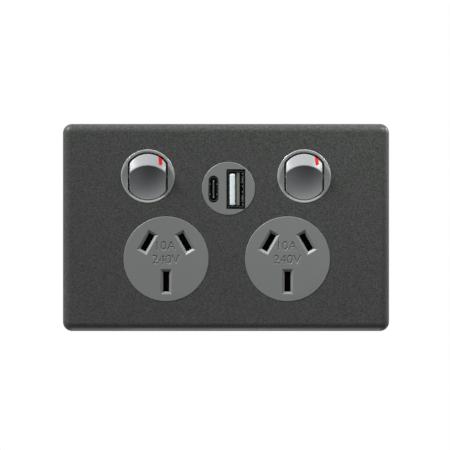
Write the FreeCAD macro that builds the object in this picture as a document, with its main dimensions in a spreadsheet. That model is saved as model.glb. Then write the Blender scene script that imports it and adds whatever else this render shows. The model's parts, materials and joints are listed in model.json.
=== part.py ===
import FreeCAD, Part
import Sketcher
import math
import os
import re

# Double wall socket with two rocker switches and a USB charger.
# X runs to the right, Z up, and the front faces -Y. The origin lies midway between the two
# fixing holes, in the plane of the wall. "Front distance" is measured from the wall towards
# the viewer, so it is -Y, and pieces inside the wall have a negative one.

os.makedirs("parts", exist_ok=True)
doc = FreeCAD.newDocument("wall_socket")
Vector = FreeCAD.Vector
X_AXIS = Vector(1, 0, 0)
Y_AXIS = Vector(0, 1, 0)
NEAR = 0.01

# Driving sizes, in millimetres and degrees

SIZES = {
    # cover plate
    "plate_width": 120.0,
    "plate_height": 76.2,
    "plate_depth": 8.5,
    "plate_side_wall": 2.0,
    "plate_front_wall": 2.4,
    "plate_corner": 3.4,
    "plate_edge_round": 3.0,
    "cover_gap": 0.3,
    "face_gap": 0.06,
    "face_proud": 0.12,
    "face_edge_round": 0.25,
    "hole_edge_round": 0.12,
    # cover hooks
    "hook_spacing": 76.0,
    "hook_width": 7.4,
    "hook_thickness": 1.3,
    "hook_bite": 0.8,
    "hook_lip": 1.0,
    "hook_play": 0.15,
    # mounting frame
    "frame_thickness": 2.2,
    "frame_step": 1.0,
    "frame_corner": 2.5,
    "screw_spacing": 84.0,
    "screw_hole_diameter": 4.2,
    "screw_pad_diameter": 9.5,
    "screw_pad_rise": 0.8,
    "rib_width": 1.4,
    "rib_length": 88.0,
    "rib_height": 2.4,
    "rib_place": 31.0,
    # socket faces
    "socket_spacing": 44.6,
    "socket_offset": 0.3,
    "socket_drop": 11.56,
    "socket_diameter": 31.3,
    "socket_wall": 1.8,
    "socket_front_wall": 2.6,
    "slot_width": 1.9,
    "slot_length": 6.4,
    "earth_length": 7.0,
    "slot_bevel": 1.4,
    "slot_side": 6.86,
    "slot_rise": 6.15,
    "earth_drop": 8.3,
    "slot_tilt": 30.0,
    "guide_wall": 1.1,
    "guide_depth": 3.0,
    # switch bodies
    "switch_spacing": 57.4,
    "switch_height": 18.8,
    "collar_diameter": 19.75,
    "opening_diameter": 17.7,
    "opening_width": 14.7,
    "opening_depth": 5.8,
    "dish_land": 0.2,
    "dish_slope": 12.0,
    "shoulder_width": 21.0,
    "shoulder_height": 21.4,
    "switch_box_width": 17.2,
    "switch_box_height": 17.4,
    "switch_back_gap": 3.6,
    "switch_box_wall": 1.4,
    "box_fit": 0.1,
    "lug_width": 6.0,
    "lug_reach": 0.8,
    "lug_tip": 0.1,
    "lug_length": 2.2,
    # rockers
    "pivot_below_face": 2.2,
    "rocker_tilt": 8.0,
    "rocker_diameter": 16.9,
    "rocker_width": 13.5,
    "rocker_skirt": 1.2,
    "rocker_wall": 1.3,
    "crest_rise": 2.2,
    "crest_radius": 9.0,
    "scoop_drop": 4.36,
    "scoop_radius": 16.0,
    "brow_slope": 38.0,
    "crest_round": 0.3,
    "pin_diameter": 2.2,
    "pin_play": 0.08,
    "pin_reach": 1.7,
    "stripe_side": 4.47,
    "stripe_width": 1.25,
    "stripe_start": 4.8,
    "stripe_sink": 1.3,
    "stripe_lean": 4.0,
    "stripe_fit": 0.02,
    # spring plungers
    "plunger_diameter": 3.2,
        "plunger_play": 0.05,
    "spring_space": 3.8,
    "boss_diameter": 5.6,
    "boss_reach": 5.2,
    "bore_top": 1.0,
    "spring_wire": 0.45,
    "spring_turns": 4.0,
    "spring_seat": 0.02,
    # see-saw contact levers
    "lever_tilt": 5.0,
    "lever_gap": 0.15,
    "lever_rise": 4.6,
    "lever_thickness": 0.9,
    "lever_width": 5.0,
    "lever_length": 13.6,
    "lug_diameter": 1.2,
    "lug_play": 0.05,
    "lug_proud": 0.3,
    "ear_thickness": 0.8,
    "ear_gap": 0.2,
    "ear_lip": 0.9,
    "cradle_height": 5.0,
    "button_diameter": 2.6,
    "button_rise": 0.7,
    "button_place": 5.4,
    "button_gap": 0.2,
    # strips and bars
    "strip_thickness": 0.8,
    "strip_width": 5.0,
    "active_bar_gap": 3.7,
    "bar_step": 4.0,
    "active_bar_height": 25.4,
    "active_bar_width": 3.0,
    "post_side": 4.0,
    "post_width": 3.0,
    "tail_side": 2.0,
    "tail_width": 4.0,
    "link_height": 3.0,
    "clip_leaf": 0.6,
    "clip_width": 6.0,
    "clip_half_base": 1.7,
    "clip_half_pinch": 1.3,
    "clip_half_mouth": 2.0,
    "clip_front": 2.6,
    "clip_flare": 1.8,
    "slot_fit": 0.1,
    # rear housing
    "housing_width": 78.4,
    "housing_height": 57.4,
    "housing_rise": 1.4,
    "housing_depth": 22.0,
    "housing_wall": 1.5,
    "housing_corner": 3.0,
    "rest_width": 2.0,
    # housing screws
    "upper_screw_spacing": 29.0,
    "upper_screw_height": 12.0,
    "lower_screw_spacing": 70.0,
    "lower_screw_drop": 22.5,
    "frame_boss_diameter": 5.2,
    "frame_boss_depth": 6.0,
    "column_diameter": 7.0,
    "case_screw_diameter": 2.9,
    "case_screw_play": 0.15,
    "case_screw_end": 0.6,
    "case_head_diameter": 5.2,
    "case_head_height": 1.8,
    "head_pocket_depth": 2.4,
    "drive_slot_width": 0.8,
    "drive_slot_depth": 0.7,
    # terminals
    "terminal_width": 8.0,
    "terminal_height": 9.0,
    "terminal_depth": 7.5,
    "terminal_bore": 4.6,
    "tunnel_shift": 0.6,
    "terminal_screw_diameter": 4.0,
    "terminal_head_diameter": 5.6,
    "terminal_head_height": 1.6,
    "terminal_gap": 0.3,
    "guard_wall": 1.2,
    "active_terminal_height": 23.4,
    "earth_terminal_side": 14.0,
    # USB module
    "usb_side": 0.9,
    "usb_height": 14.3,
    "usb_diameter": 19.6,
    "usb_shoulder": 20.6,
    "usb_box": 17.0,
    "usb_box_wall": 1.1,
    "usb_back_gap": 1.0,
    "usb_front_wall": 3.0,
    "usb_back_thickness": 1.0,
    "port_c_side": 5.5,
    "port_a_side": 2.7,
    "port_drop": 0.2,
    "port_c_width": 3.67,
    "port_c_length": 9.9,
    "port_a_width": 6.9,
    "port_a_length": 14.6,
    "shell_wall": 0.3,
    "shell_recess": 0.9,
    "shell_a_width": 5.9,
    "shell_a_length": 13.3,
    "shell_c_width": 3.2,
    "shell_c_length": 9.0,
    "tongue_a_width": 2.0,
    "tongue_a_length": 11.3,
    "tongue_a_side": 1.26,
    "tongue_recess": 0.5,
    "tongue_c_width": 0.7,
    "tongue_c_length": 6.7,
    "contact_width": 1.1,
    "contact_pitch": 2.3,
    "contact_thickness": 0.25,
    "contact_setback": 0.6,
    "board_back": 8.4,
    "board_thickness": 1.4,
    "board_side": 14.4,
    "core_width": 9.0,
    "core_height": 8.6,
    "core_back_gap": 2.1,
    "core_side": 2.4,
    "core_wall": 1.6,
    "winding_proud": 1.2,
    "capacitor_diameter": 4.4,
    "capacitor_back_gap": 1.9,
    "capacitor_side": 4.6,
    "capacitor_spacing": 7.4,
    "chip_side": 2.8,
    "chip_thickness": 0.9,
    "lead_width": 2.4,
    # how far a joined form runs into its carrier, and a cut runs past the face it enters
    "form_lap": 0.2,
    "cut_over": 1.0,
}

sheet = doc.addObject("Spreadsheet::Sheet", "Sizes")
for row, (alias, value) in enumerate(SIZES.items(), start=1):
    sheet.set(f"A{row}", alias)
    sheet.set(f"B{row}", str(value))
    sheet.setAlias(f"B{row}", alias)
doc.recompute()


def size(alias):
    """Value of one driving size."""
    return float(sheet.get(alias))


# Binding to the sheet


def cell(text):
    """A formula with each driving size looked up in the sheet."""
    return re.sub(r"[a-z]+(?:_[a-z]+)+", lambda word: "Sizes." + word.group(0), text)


def bind(item, **formulas):
    for prop, text in formulas.items():
        item.setExpression(prop.replace("__", "."), cell(text))


def place(item, x="0", z="0", front="0"):
    bind(
        item,
        Placement__Base__x=x,
        Placement__Base__y=f"-({front})",
        Placement__Base__z=z,
    )
    return item


# Places that several pieces share, as formulas of the driving sizes

FACE = "(plate_depth + face_proud)"
COVER_INSIDE = "(plate_depth - plate_front_wall)"
SHOULDER_TOP = "(plate_depth - plate_front_wall - cover_gap)"
FRAME_WIDTH = "(plate_width - 2 * plate_side_wall - 2 * cover_gap)"
FRAME_HEIGHT = "(plate_height - 2 * plate_side_wall - 2 * cover_gap)"
SOCKET_INSIDE = f"({FACE} - socket_front_wall)"
PIVOT = f"({FACE} - pivot_below_face)"
CREST = "(pivot_below_face + crest_rise)"
SCOOP_CENTRE = f"({CREST} + sqrt(scoop_radius * scoop_radius - crest_radius * crest_radius))"
HOLLOW_TOP = f"({SCOOP_CENTRE} - scoop_radius - rocker_wall)"
FLOOR_INSIDE = "(-housing_depth + housing_wall)"
ACTIVE_BAR_BACK = f"({FLOOR_INSIDE} + active_bar_gap)"
ACTIVE_BAR_FRONT = f"({ACTIVE_BAR_BACK} + strip_thickness)"
BAR_BACK = f"({ACTIVE_BAR_BACK} + bar_step)"
BAR_FRONT = f"({BAR_BACK} + strip_thickness)"
SWITCH_BACK = f"({BAR_BACK} + switch_back_gap)"
SWITCH_FLOOR = f"({SWITCH_BACK} + switch_box_wall)"
CRADLE_FRONT = f"({SWITCH_FLOOR} + strip_thickness)"
LEVER_PIVOT = f"({SWITCH_FLOOR} + lever_rise)"
PLUNGER_REACH = f"({PIVOT} - {LEVER_PIVOT} - lever_gap - lever_thickness / 2)"
USB_BACK = f"({FLOOR_INSIDE} + usb_back_gap)"
CHARGER_BACK = f"({USB_BACK} + usb_back_thickness)"
TUNNEL_MIDDLE = "(-housing_depth - terminal_depth / 2 + tunnel_shift)"
FRAME_THROUGH = ("-frame_step - cut_over", "frame_thickness + cut_over")
SIDES = (("left", "-1"), ("right", "1"))


def switch_x(sign):
    return f"({sign} * switch_spacing / 2)"


def socket_x(sign):
    return f"(socket_offset + {sign} * socket_spacing / 2)"


def case_screw_places():
    """Four screws: two between the switches, two in the lower corners."""
    upper = [(f"{sign} * upper_screw_spacing / 2", "upper_screw_height") for _, sign in SIDES]
    lower = [(f"{sign} * lower_screw_spacing / 2", "-lower_screw_drop") for _, sign in SIDES]
    return upper + lower


def terminal_places():
    return {
        "active": ("usb_side", "active_terminal_height"),
        "neutral": ("socket_offset", "-socket_drop"),
        "earth": ("earth_terminal_side", "-socket_drop - earth_drop"),
    }


def slot_places(sign):
    """The three slots of one socket: centre, turn in degrees and length."""
    centre = socket_x(sign)
    return (
        (f"{centre} - slot_side", "-socket_drop + slot_rise", "-slot_tilt", "slot_length"),
        (f"{centre} + slot_side", "-socket_drop + slot_rise", "slot_tilt", "slot_length"),
        (centre, "-socket_drop - earth_drop", "0", "earth_length"),
    )


# Bodies built from sketches


def new_body(label):
    body = doc.addObject("PartDesign::Body", label)
    body.Label = label
    return body


def sketch_on(body, role, a="0", b="0", out="0", turn=None):
    """An empty sketch whose own origin is at (a, b) of the plane, moved out along its normal."""
    sketch = body.newObject("Sketcher::SketchObject", body.Name + "_sketch")
    plane = [o for o in body.Origin.OriginFeatures if o.Role == role][0]
    sketch.AttachmentSupport = [(plane, "")]
    sketch.MapMode = "FlatFace"
    sketch.AttachmentOffset = FreeCAD.Placement(Vector(), FreeCAD.Rotation(Vector(0, 0, 1), 1))
    bind(
        sketch,
        AttachmentOffset__Base__x=a,
        AttachmentOffset__Base__y=b,
        AttachmentOffset__Base__z=out,
        AttachmentOffset__Rotation__Angle=turn or "0",
    )
    return sketch


def limit(sketch, kind, *refs, value, formula):
    """One dimension of a sketch, bound to the sheet."""
    number = sketch.addConstraint(Sketcher.Constraint(kind, *refs, value))
    sketch.setExpression(f"Constraints[{number}]", cell(formula))


def polygon(points):
    """Closed outline through corners given as pairs of formulas."""

    def draw(sketch):
        count = len(points)
        start = len(sketch.Geometry)
        ring = [
            Vector(math.cos(2 * math.pi * k / count), math.sin(2 * math.pi * k / count), 0)
            for k in range(count)
        ]
        for k in range(count):
            sketch.addGeometry(Part.LineSegment(ring[k], ring[(k + 1) % count]))
        for k in range(count):
            follower = start + (k + 1) % count
            sketch.addConstraint(Sketcher.Constraint("Coincident", start + k, 2, follower, 1))
        for k, (a, b) in enumerate(points):
            limit(sketch, "DistanceX", -1, 1, start + k, 1, value=ring[k].x, formula=a)
            limit(sketch, "DistanceY", -1, 1, start + k, 1, value=ring[k].y, formula=b)

    return draw


def rectangle(width, height):
    half_w, half_h = f"({width}) / 2", f"({height}) / 2"
    corners = ((half_w, half_h), ("-" + half_w, half_h), ("-" + half_w, "-" + half_h))
    return polygon(corners + ((half_w, "-" + half_h),))


def circle(diameter):
    def draw(sketch):
        round_line = sketch.addGeometry(Part.Circle(Vector(), Vector(0, 0, 1), 1))
        sketch.addConstraint(Sketcher.Constraint("Coincident", round_line, 3, -1, 1))
        limit(sketch, "Diameter", round_line, value=2.0, formula=diameter)

    return draw


def slot(width, length):
    """Upright slot with full round ends."""

    def draw(sketch):
        up = Part.ArcOfCircle(Part.Circle(Vector(0, 2, 0), Vector(0, 0, 1), 1), 0, math.pi)
        down = Part.Circle(Vector(0, -2, 0), Vector(0, 0, 1), 1)
        sketch.addGeometry(up)
        sketch.addGeometry(Part.LineSegment(Vector(-1, 2, 0), Vector(-1, -2, 0)))
        sketch.addGeometry(Part.ArcOfCircle(down, math.pi, 2 * math.pi))
        sketch.addGeometry(Part.LineSegment(Vector(1, -2, 0), Vector(1, 2, 0)))
        for first, end, second, start in ((0, 2, 1, 1), (1, 2, 2, 1), (2, 2, 3, 1), (3, 2, 0, 1)):
            sketch.addConstraint(Sketcher.Constraint("Tangent", first, end, second, start))
        sketch.addConstraint(Sketcher.Constraint("Equal", 0, 2))
        sketch.addConstraint(Sketcher.Constraint("Symmetric", 0, 3, 2, 3, -1, 1))
        sketch.addConstraint(Sketcher.Constraint("PointOnObject", 0, 3, -2))
        limit(sketch, "Radius", 0, value=1.0, formula=f"({width}) / 2")
        limit(sketch, "DistanceY", 2, 3, 0, 3, value=4.0, formula=f"({length}) - ({width})")

    return draw


def flatted_circle(diameter, width):
    """Circle with two upright flats, the outline of a rocker and of its opening."""

    def draw(sketch):
        ring = Part.Circle(Vector(), Vector(0, 0, 1), 5)
        lean = math.acos(0.8)
        sketch.addGeometry(Part.ArcOfCircle(ring, lean, math.pi - lean))
        sketch.addGeometry(Part.LineSegment(Vector(-4, 3, 0), Vector(-4, -3, 0)))
        sketch.addGeometry(Part.ArcOfCircle(ring, math.pi + lean, 2 * math.pi - lean))
        sketch.addGeometry(Part.LineSegment(Vector(4, -3, 0), Vector(4, 3, 0)))
        for first in range(4):
            follower = (first + 1) % 4
            sketch.addConstraint(Sketcher.Constraint("Coincident", first, 2, follower, 1))
        sketch.addConstraint(Sketcher.Constraint("Coincident", 0, 3, -1, 1))
        sketch.addConstraint(Sketcher.Constraint("Coincident", 2, 3, -1, 1))
        sketch.addConstraint(Sketcher.Constraint("Equal", 0, 2))
        sketch.addConstraint(Sketcher.Constraint("Vertical", 1))
        sketch.addConstraint(Sketcher.Constraint("Vertical", 3))
        sketch.addConstraint(Sketcher.Constraint("Equal", 1, 3))
        limit(sketch, "Radius", 0, value=5.0, formula=f"({diameter}) / 2")
        limit(sketch, "DistanceX", 1, 1, 3, 2, value=8.0, formula=width)

    return draw


def pad(body, draw, low, high, x="0", z="0", turn=None, role="XZ_Plane"):
    """Add an outline from one front distance to a greater one (along X for the YZ plane)."""
    sketch = sketch_on(body, role, x, z, low, turn)
    draw(sketch)
    feature = body.newObject("PartDesign::Pad", body.Name + "_pad")
    feature.Profile = sketch
    bind(feature, Length=f"({high}) - ({low})")
    return feature


def pocket(body, draw, low, high, x="0", z="0", turn=None, role="XZ_Plane"):
    """Cut an outline from the greater front distance back to the lesser one."""
    sketch = sketch_on(body, role, x, z, high, turn)
    draw(sketch)
    feature = body.newObject("PartDesign::Pocket", body.Name + "_pocket")
    feature.Profile = sketch
    bind(feature, Length=f"({high}) - ({low})")
    return feature


def edge_names(body, wanted):
    """Names of the edges of a body's present shape that pass a test."""
    doc.recompute()
    edges = body.Shape.Edges
    return [f"Edge{number}" for number, edge in enumerate(edges, start=1) if wanted(edge)]


def round_edges(body, radius, wanted):
    names = edge_names(body, wanted)
    base = body.Tip
    feature = body.newObject("PartDesign::Fillet", body.Name + "_round")
    feature.Base = (base, names)
    bind(feature, Radius=radius)
    return feature


def bevel_edges(body, width, wanted):
    names = edge_names(body, wanted)
    base = body.Tip
    feature = body.newObject("PartDesign::Chamfer", body.Name + "_bevel")
    feature.Base = (base, names)
    bind(feature, Size=width)
    return feature


def lies_at(front):
    """Test for edges that lie wholly at one front distance."""

    def wanted(edge):
        box = edge.BoundBox
        return abs(box.YMin + front) < NEAR and abs(box.YMax + front) < NEAR

    return wanted


def circle_at(front, radius):
    """Test for round edges of one radius at one front distance."""
    flat = lies_at(front)

    def wanted(edge):
        curve = edge.Curve
        return flat(edge) and hasattr(curve, "Radius") and abs(curve.Radius - radius) < NEAR

    return wanted


def upright_at(half_width, half_height, middle=0.0):
    """Test for the four corner edges of a block that run along Y."""

    def wanted(edge):
        box = edge.BoundBox
        along = box.YLength > NEAR and box.XLength < NEAR and box.ZLength < NEAR
        at_side = abs(abs(box.XMin) - half_width) < NEAR
        return along and at_side and abs(abs(box.ZMin - middle) - half_height) < NEAR

    return wanted


# Simple solids and their unions and cuts


def block(name, x, z, low, high, width, height):
    """Box centred on (x, z) between two front distances."""
    item = doc.addObject("Part::Box", name)
    bind(item, Length=width, Height=height, Width=f"({high}) - ({low})")
    return place(item, f"({x}) - ({width}) / 2", f"({z}) - ({height}) / 2", high)


def rod(name, x, z, low, high, diameter):
    """Cylinder along the depth between two front distances."""
    item = doc.addObject("Part::Cylinder", name)
    item.Placement = FreeCAD.Placement(Vector(), FreeCAD.Rotation(X_AXIS, 90))
    bind(item, Radius=f"({diameter}) / 2", Height=f"({high}) - ({low})")
    return place(item, x, z, low)


def cross_rod(name, x, z, front, length, diameter):
    """Cylinder along X, centred on x."""
    item = doc.addObject("Part::Cylinder", name)
    item.Placement = FreeCAD.Placement(Vector(), FreeCAD.Rotation(Y_AXIS, 90))
    bind(item, Radius=f"({diameter}) / 2", Height=length)
    return place(item, f"({x}) - ({length}) / 2", z, front)


def upright_rod(name, x, z, front, length, diameter):
    """Cylinder along Z, centred on z."""
    item = doc.addObject("Part::Cylinder", name)
    bind(item, Radius=f"({diameter}) / 2", Height=length)
    return place(item, x, f"({z}) - ({length}) / 2", front)


def union(label, *items):
    joined = doc.addObject("Part::MultiFuse", label)
    joined.Label = label
    joined.Shapes = list(items)
    joined.Refine = True
    return joined


def overlap_of(label, *items):
    shared = doc.addObject("Part::MultiCommon", label)
    shared.Label = label
    shared.Shapes = list(items)
    return shared


def take_away(label, base, *tools):
    """Base less the tools, each cut in turn."""
    for number, tool in enumerate(tools, start=1):
        result = doc.addObject("Part::Cut", label if number == len(tools) else label + "_cut")
        result.Base = base
        result.Tool = tool
        base = result
    base.Label = label
    return base


def group(label, *items):
    together = doc.addObject("Part::Compound", label)
    together.Label = label
    together.Links = list(items)
    return together


nodes = []


def keep(item):
    nodes.append(item)
    return item


# Cover plate: a moulded shell with a hole for each face, and hooks that hold it to the frame


def cover_plate():
    body = new_body("cover_plate")
    pad(body, rectangle("plate_width", "plate_height"), "0", "plate_depth")
    corners = upright_at(size("plate_width") / 2, size("plate_height") / 2)
    round_edges(body, "plate_corner", corners)
    round_edges(body, "plate_edge_round", lies_at(size("plate_depth")))
    inside = rectangle("plate_width - 2 * plate_side_wall", "plate_height - 2 * plate_side_wall")
    pocket(body, inside, "-cut_over", COVER_INSIDE)
    holes = []
    for _, sign in SIDES:
        holes.append((socket_x(sign), "-socket_drop", "socket_diameter"))
        holes.append((switch_x(sign), "switch_height", "collar_diameter"))
    holes.append(("usb_side", "usb_height", "usb_diameter"))
    for x, z, diameter in holes:
        pocket(body, circle(f"{diameter} + 2 * face_gap"), COVER_INSIDE + " - cut_over", FACE, x, z)
    depth = size("plate_depth")
    gap = size("face_gap")
    radii = [size(name) / 2 + gap for name in ("socket_diameter", "collar_diameter", "usb_diameter")]
    tests = [circle_at(depth, radius) for radius in radii]
    round_edges(body, "hole_edge_round", lambda edge: any(test(edge) for test in tests))
    # hooks: a tongue beside the frame's edge, with a barb behind the frame's lip
    for _, side in SIDES:
        for rise in ("1", "-1"):
            # corners go round the other way on the lower hooks
            outer = "(plate_height / 2 - plate_side_wall)"
            inner = f"({outer} - hook_thickness)"
            barb_top = "(frame_thickness - hook_lip - hook_play)"
            profile = (
                (f"-{COVER_INSIDE} - form_lap", f"{rise} * ({outer} + form_lap)"),
                (f"-{COVER_INSIDE} - form_lap", f"{rise} * {inner}"),
                (f"-{barb_top}", f"{rise} * {inner}"),
                (f"-{barb_top}", f"{rise} * ({inner} - hook_bite)"),
                ("-hook_play", f"{rise} * {inner}"),
                ("-hook_play", f"{rise} * ({outer} + form_lap)"),
            )
            start = f"{side} * hook_spacing / 2 - hook_width / 2"
            pad(body, polygon(profile), start, start + " + hook_width", role="YZ_Plane")
    return keep(body)


# Mounting frame: has the fixing holes, and carries the modules and the socket faces


def mounting_frame():
    body = new_body("mounting_frame")
    pad(body, rectangle(FRAME_WIDTH, FRAME_HEIGHT), "0", "frame_thickness")
    half_w = size("plate_width") / 2 - size("plate_side_wall") - size("cover_gap")
    half_h = size("plate_height") / 2 - size("plate_side_wall") - size("cover_gap")
    round_edges(body, "frame_corner", upright_at(half_w, half_h))
    pad(body, rectangle("housing_width", "housing_height"), "-frame_step", "0", z="housing_rise")
    for rise in ("1", "-1"):
        bar = rectangle("rib_length", "rib_width")
        pad(body, bar, "frame_thickness", "frame_thickness + rib_height", z=f"{rise} * rib_place")
    # hollow round bosses that the socket faces sit on
    for _, sign in SIDES:
        pad(body, circle("socket_diameter"), "0", SOCKET_INSIDE, socket_x(sign), "-socket_drop")
    for _, sign in SIDES:
        hollow = circle("socket_diameter - 2 * socket_wall")
        back, front = "-frame_step - cut_over", f"{SOCKET_INSIDE} + cut_over"
        pocket(body, hollow, back, front, socket_x(sign), "-socket_drop")
    # windows for the switches and the USB module
    for _, sign in SIDES:
        window = rectangle("switch_box_width + 2 * box_fit", "switch_box_height + 2 * box_fit")
        pocket(body, window, *FRAME_THROUGH, switch_x(sign), "switch_height")
    window = rectangle("usb_box + 2 * box_fit", "usb_box + 2 * box_fit")
    pocket(body, window, *FRAME_THROUGH, "usb_side", "usb_height")
    # bosses for the housing screws
    for x, z in case_screw_places():
        pad(body, circle("frame_boss_diameter"), "-frame_boss_depth", "0", x, z)
        bore = circle("case_screw_diameter")
        pocket(body, bore, "-frame_boss_depth - cut_over", "case_screw_end + case_screw_play", x, z)
    # fixing holes for the wall screws, each on a raised pad
    for _, sign in SIDES:
        x = f"{sign} * screw_spacing / 2"
        raised = "frame_thickness + screw_pad_rise"
        pad(body, circle("screw_pad_diameter"), "0", raised, x)
        pocket(body, circle("screw_hole_diameter"), "-cut_over", raised + " + cut_over", x)
    # notches and lips for the hooks of the cover
    for _, sign in SIDES:
        for rise in ("1", "-1"):
            x = f"{sign} * hook_spacing / 2"
            inner = "(plate_height / 2 - plate_side_wall - hook_thickness - hook_play)"
            wide = "hook_width + 2 * hook_play"
            notch = rectangle(wide, "2 * hook_thickness")
            notch_z = f"{rise} * ({inner} + hook_thickness)"
            pocket(body, notch, "-cut_over", "frame_thickness + cut_over", x, notch_z)
            bite = "(hook_bite + hook_play)"
            relief = rectangle(wide, f"2 * {bite}")
            pocket(body, relief, "-cut_over", "frame_thickness - hook_lip", x, f"{rise} * {inner}")
    return keep(body)


# Socket face: closes a boss of the frame, with a bevelled slot and a guide behind it for each pin


def socket_face(side, sign):
    body = new_body(f"socket_face_{side}")
    pad(body, circle("socket_diameter"), SOCKET_INSIDE, FACE, socket_x(sign), "-socket_drop")
    for slot_x, slot_z, turn, length in slot_places(sign):
        guide = rectangle("slot_width + 2 * guide_wall", f"{length} + 2 * guide_wall")
        low = f"{SOCKET_INSIDE} - guide_depth"
        pad(body, guide, low, f"{SOCKET_INSIDE} + form_lap", slot_x, slot_z, turn)
        opening = rectangle("slot_width", length)
        pocket(body, opening, f"{low} - cut_over", FACE, slot_x, slot_z, turn)
    face = size("plate_depth") + size("face_proud")
    flat = lies_at(face)
    rim = circle_at(face, size("socket_diameter") / 2)
    bevel_edges(body, "slot_bevel", lambda edge: flat(edge) and not rim(edge))
    round_edges(body, "face_edge_round", rim)
    return keep(body)


# Switch body: round collar, shoulder and box in one moulding, closed behind


def switch_body(side, sign):
    x = switch_x(sign)
    z = "switch_height"
    body = new_body(f"switch_body_{side}")
    pad(body, rectangle("shoulder_width", "shoulder_height"), "frame_thickness", SHOULDER_TOP, x, z)
    pad(body, rectangle("switch_box_width", "switch_box_height"), SWITCH_BACK, "frame_thickness", x, z)
    pad(body, circle("collar_diameter"), "frame_thickness", FACE, x, z)
    mouth = flatted_circle("opening_diameter", "opening_width")
    pocket(body, mouth, f"{FACE} - opening_depth", FACE, x, z)
    inner_w = "switch_box_width - 2 * switch_box_wall"
    inner_h = "switch_box_height - 2 * switch_box_wall"
    pocket(body, rectangle(inner_w, inner_h), SWITCH_FLOOR, f"{FACE} - opening_depth + form_lap", x, z)
    # slots in the floor for the tail of the cradle and the post of the fixed contact
    tail = rectangle("tail_width + 2 * slot_fit", "strip_thickness + 2 * slot_fit")
    pocket(body, tail, SWITCH_BACK + " - cut_over", SWITCH_FLOOR, f"{x} - tail_side", z)
    post = rectangle("post_width + 2 * slot_fit", "strip_thickness + 2 * slot_fit")
    post_z = f"{z} + button_place + button_diameter / 2"
    pocket(body, post, SWITCH_BACK + " - cut_over", SWITCH_FLOOR, f"{x} + post_side", post_z)
    # snap lugs above and below, behind the frame
    for rise in ("1", "-1"):
        wall = f"({z} + {rise} * switch_box_height / 2)"
        profile = (
            ("frame_step + face_gap", f"{wall} - {rise} * form_lap"),
            ("frame_step + face_gap", f"{wall} + {rise} * lug_reach"),
            ("frame_step + face_gap + lug_length", f"{wall} + {rise} * lug_tip"),
            ("frame_step + face_gap + lug_length", f"{wall} - {rise} * form_lap"),
        )
        start = f"{x} - lug_width / 2"
        pad(body, polygon(profile), start, start + " + lug_width", role="YZ_Plane")
    face = size("plate_depth") + size("face_proud")
    round_edges(body, "face_edge_round", circle_at(face, size("collar_diameter") / 2))
    doc.recompute()
    bore_length = "opening_width + 2 * pin_reach + 2 * form_lap"
    bore = cross_rod(f"pin_bore_{side}", x, z, PIVOT, bore_length, "pin_diameter + 2 * pin_play")
    body.Label = f"switch_moulding_{side}"
    return keep(take_away(f"switch_body_{side}", body, bore, collar_dish(side, sign)))


def collar_dish(side, sign):
    """Shallow funnel in the collar's face, which leaves a narrow flat rim."""
    dish = doc.addObject("Part::Cone", f"collar_dish_{side}")
    dish.Placement = FreeCAD.Placement(Vector(), FreeCAD.Rotation(X_AXIS, 90))
    rim = "(collar_diameter / 2 - face_edge_round - dish_land)"
    depth = f"({rim} * tan(dish_slope))"
    wide = f"({rim} + cut_over / tan(dish_slope))"
    bind(dish, Radius1=str(NEAR), Radius2=wide, Height=f"{depth} + cut_over")
    return place(dish, switch_x(sign), "switch_height", f"{FACE} - {depth}")


# Rocker and what it carries, drawn about its pivot and then tilted to the ON position


def rest_tilt(item, x, front, angle):
    """Put a piece that was drawn about its pivot in its place at rest."""
    turn = FreeCAD.Rotation(X_AXIS, angle)
    item.Placement = FreeCAD.Placement(Vector(), turn)
    return place(item, x, "switch_height", front)


def brow_cone(name):
    """Cone about the scoop's centre line: outside the crest, the rocker falls away on it."""
    cone = doc.addObject("Part::Cone", name)
    cone.Placement = FreeCAD.Placement(Vector(), FreeCAD.Rotation(X_AXIS, 90))
    reach = f"(crest_radius + ({CREST} + rocker_skirt) / tan(brow_slope))"
    tip = "(crest_radius * tan(brow_slope))"
    bind(cone, Radius1=reach, Radius2=str(NEAR), Height=f"{CREST} + rocker_skirt + {tip}")
    return place(cone, "0", "-scoop_drop", "-rocker_skirt")


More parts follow.
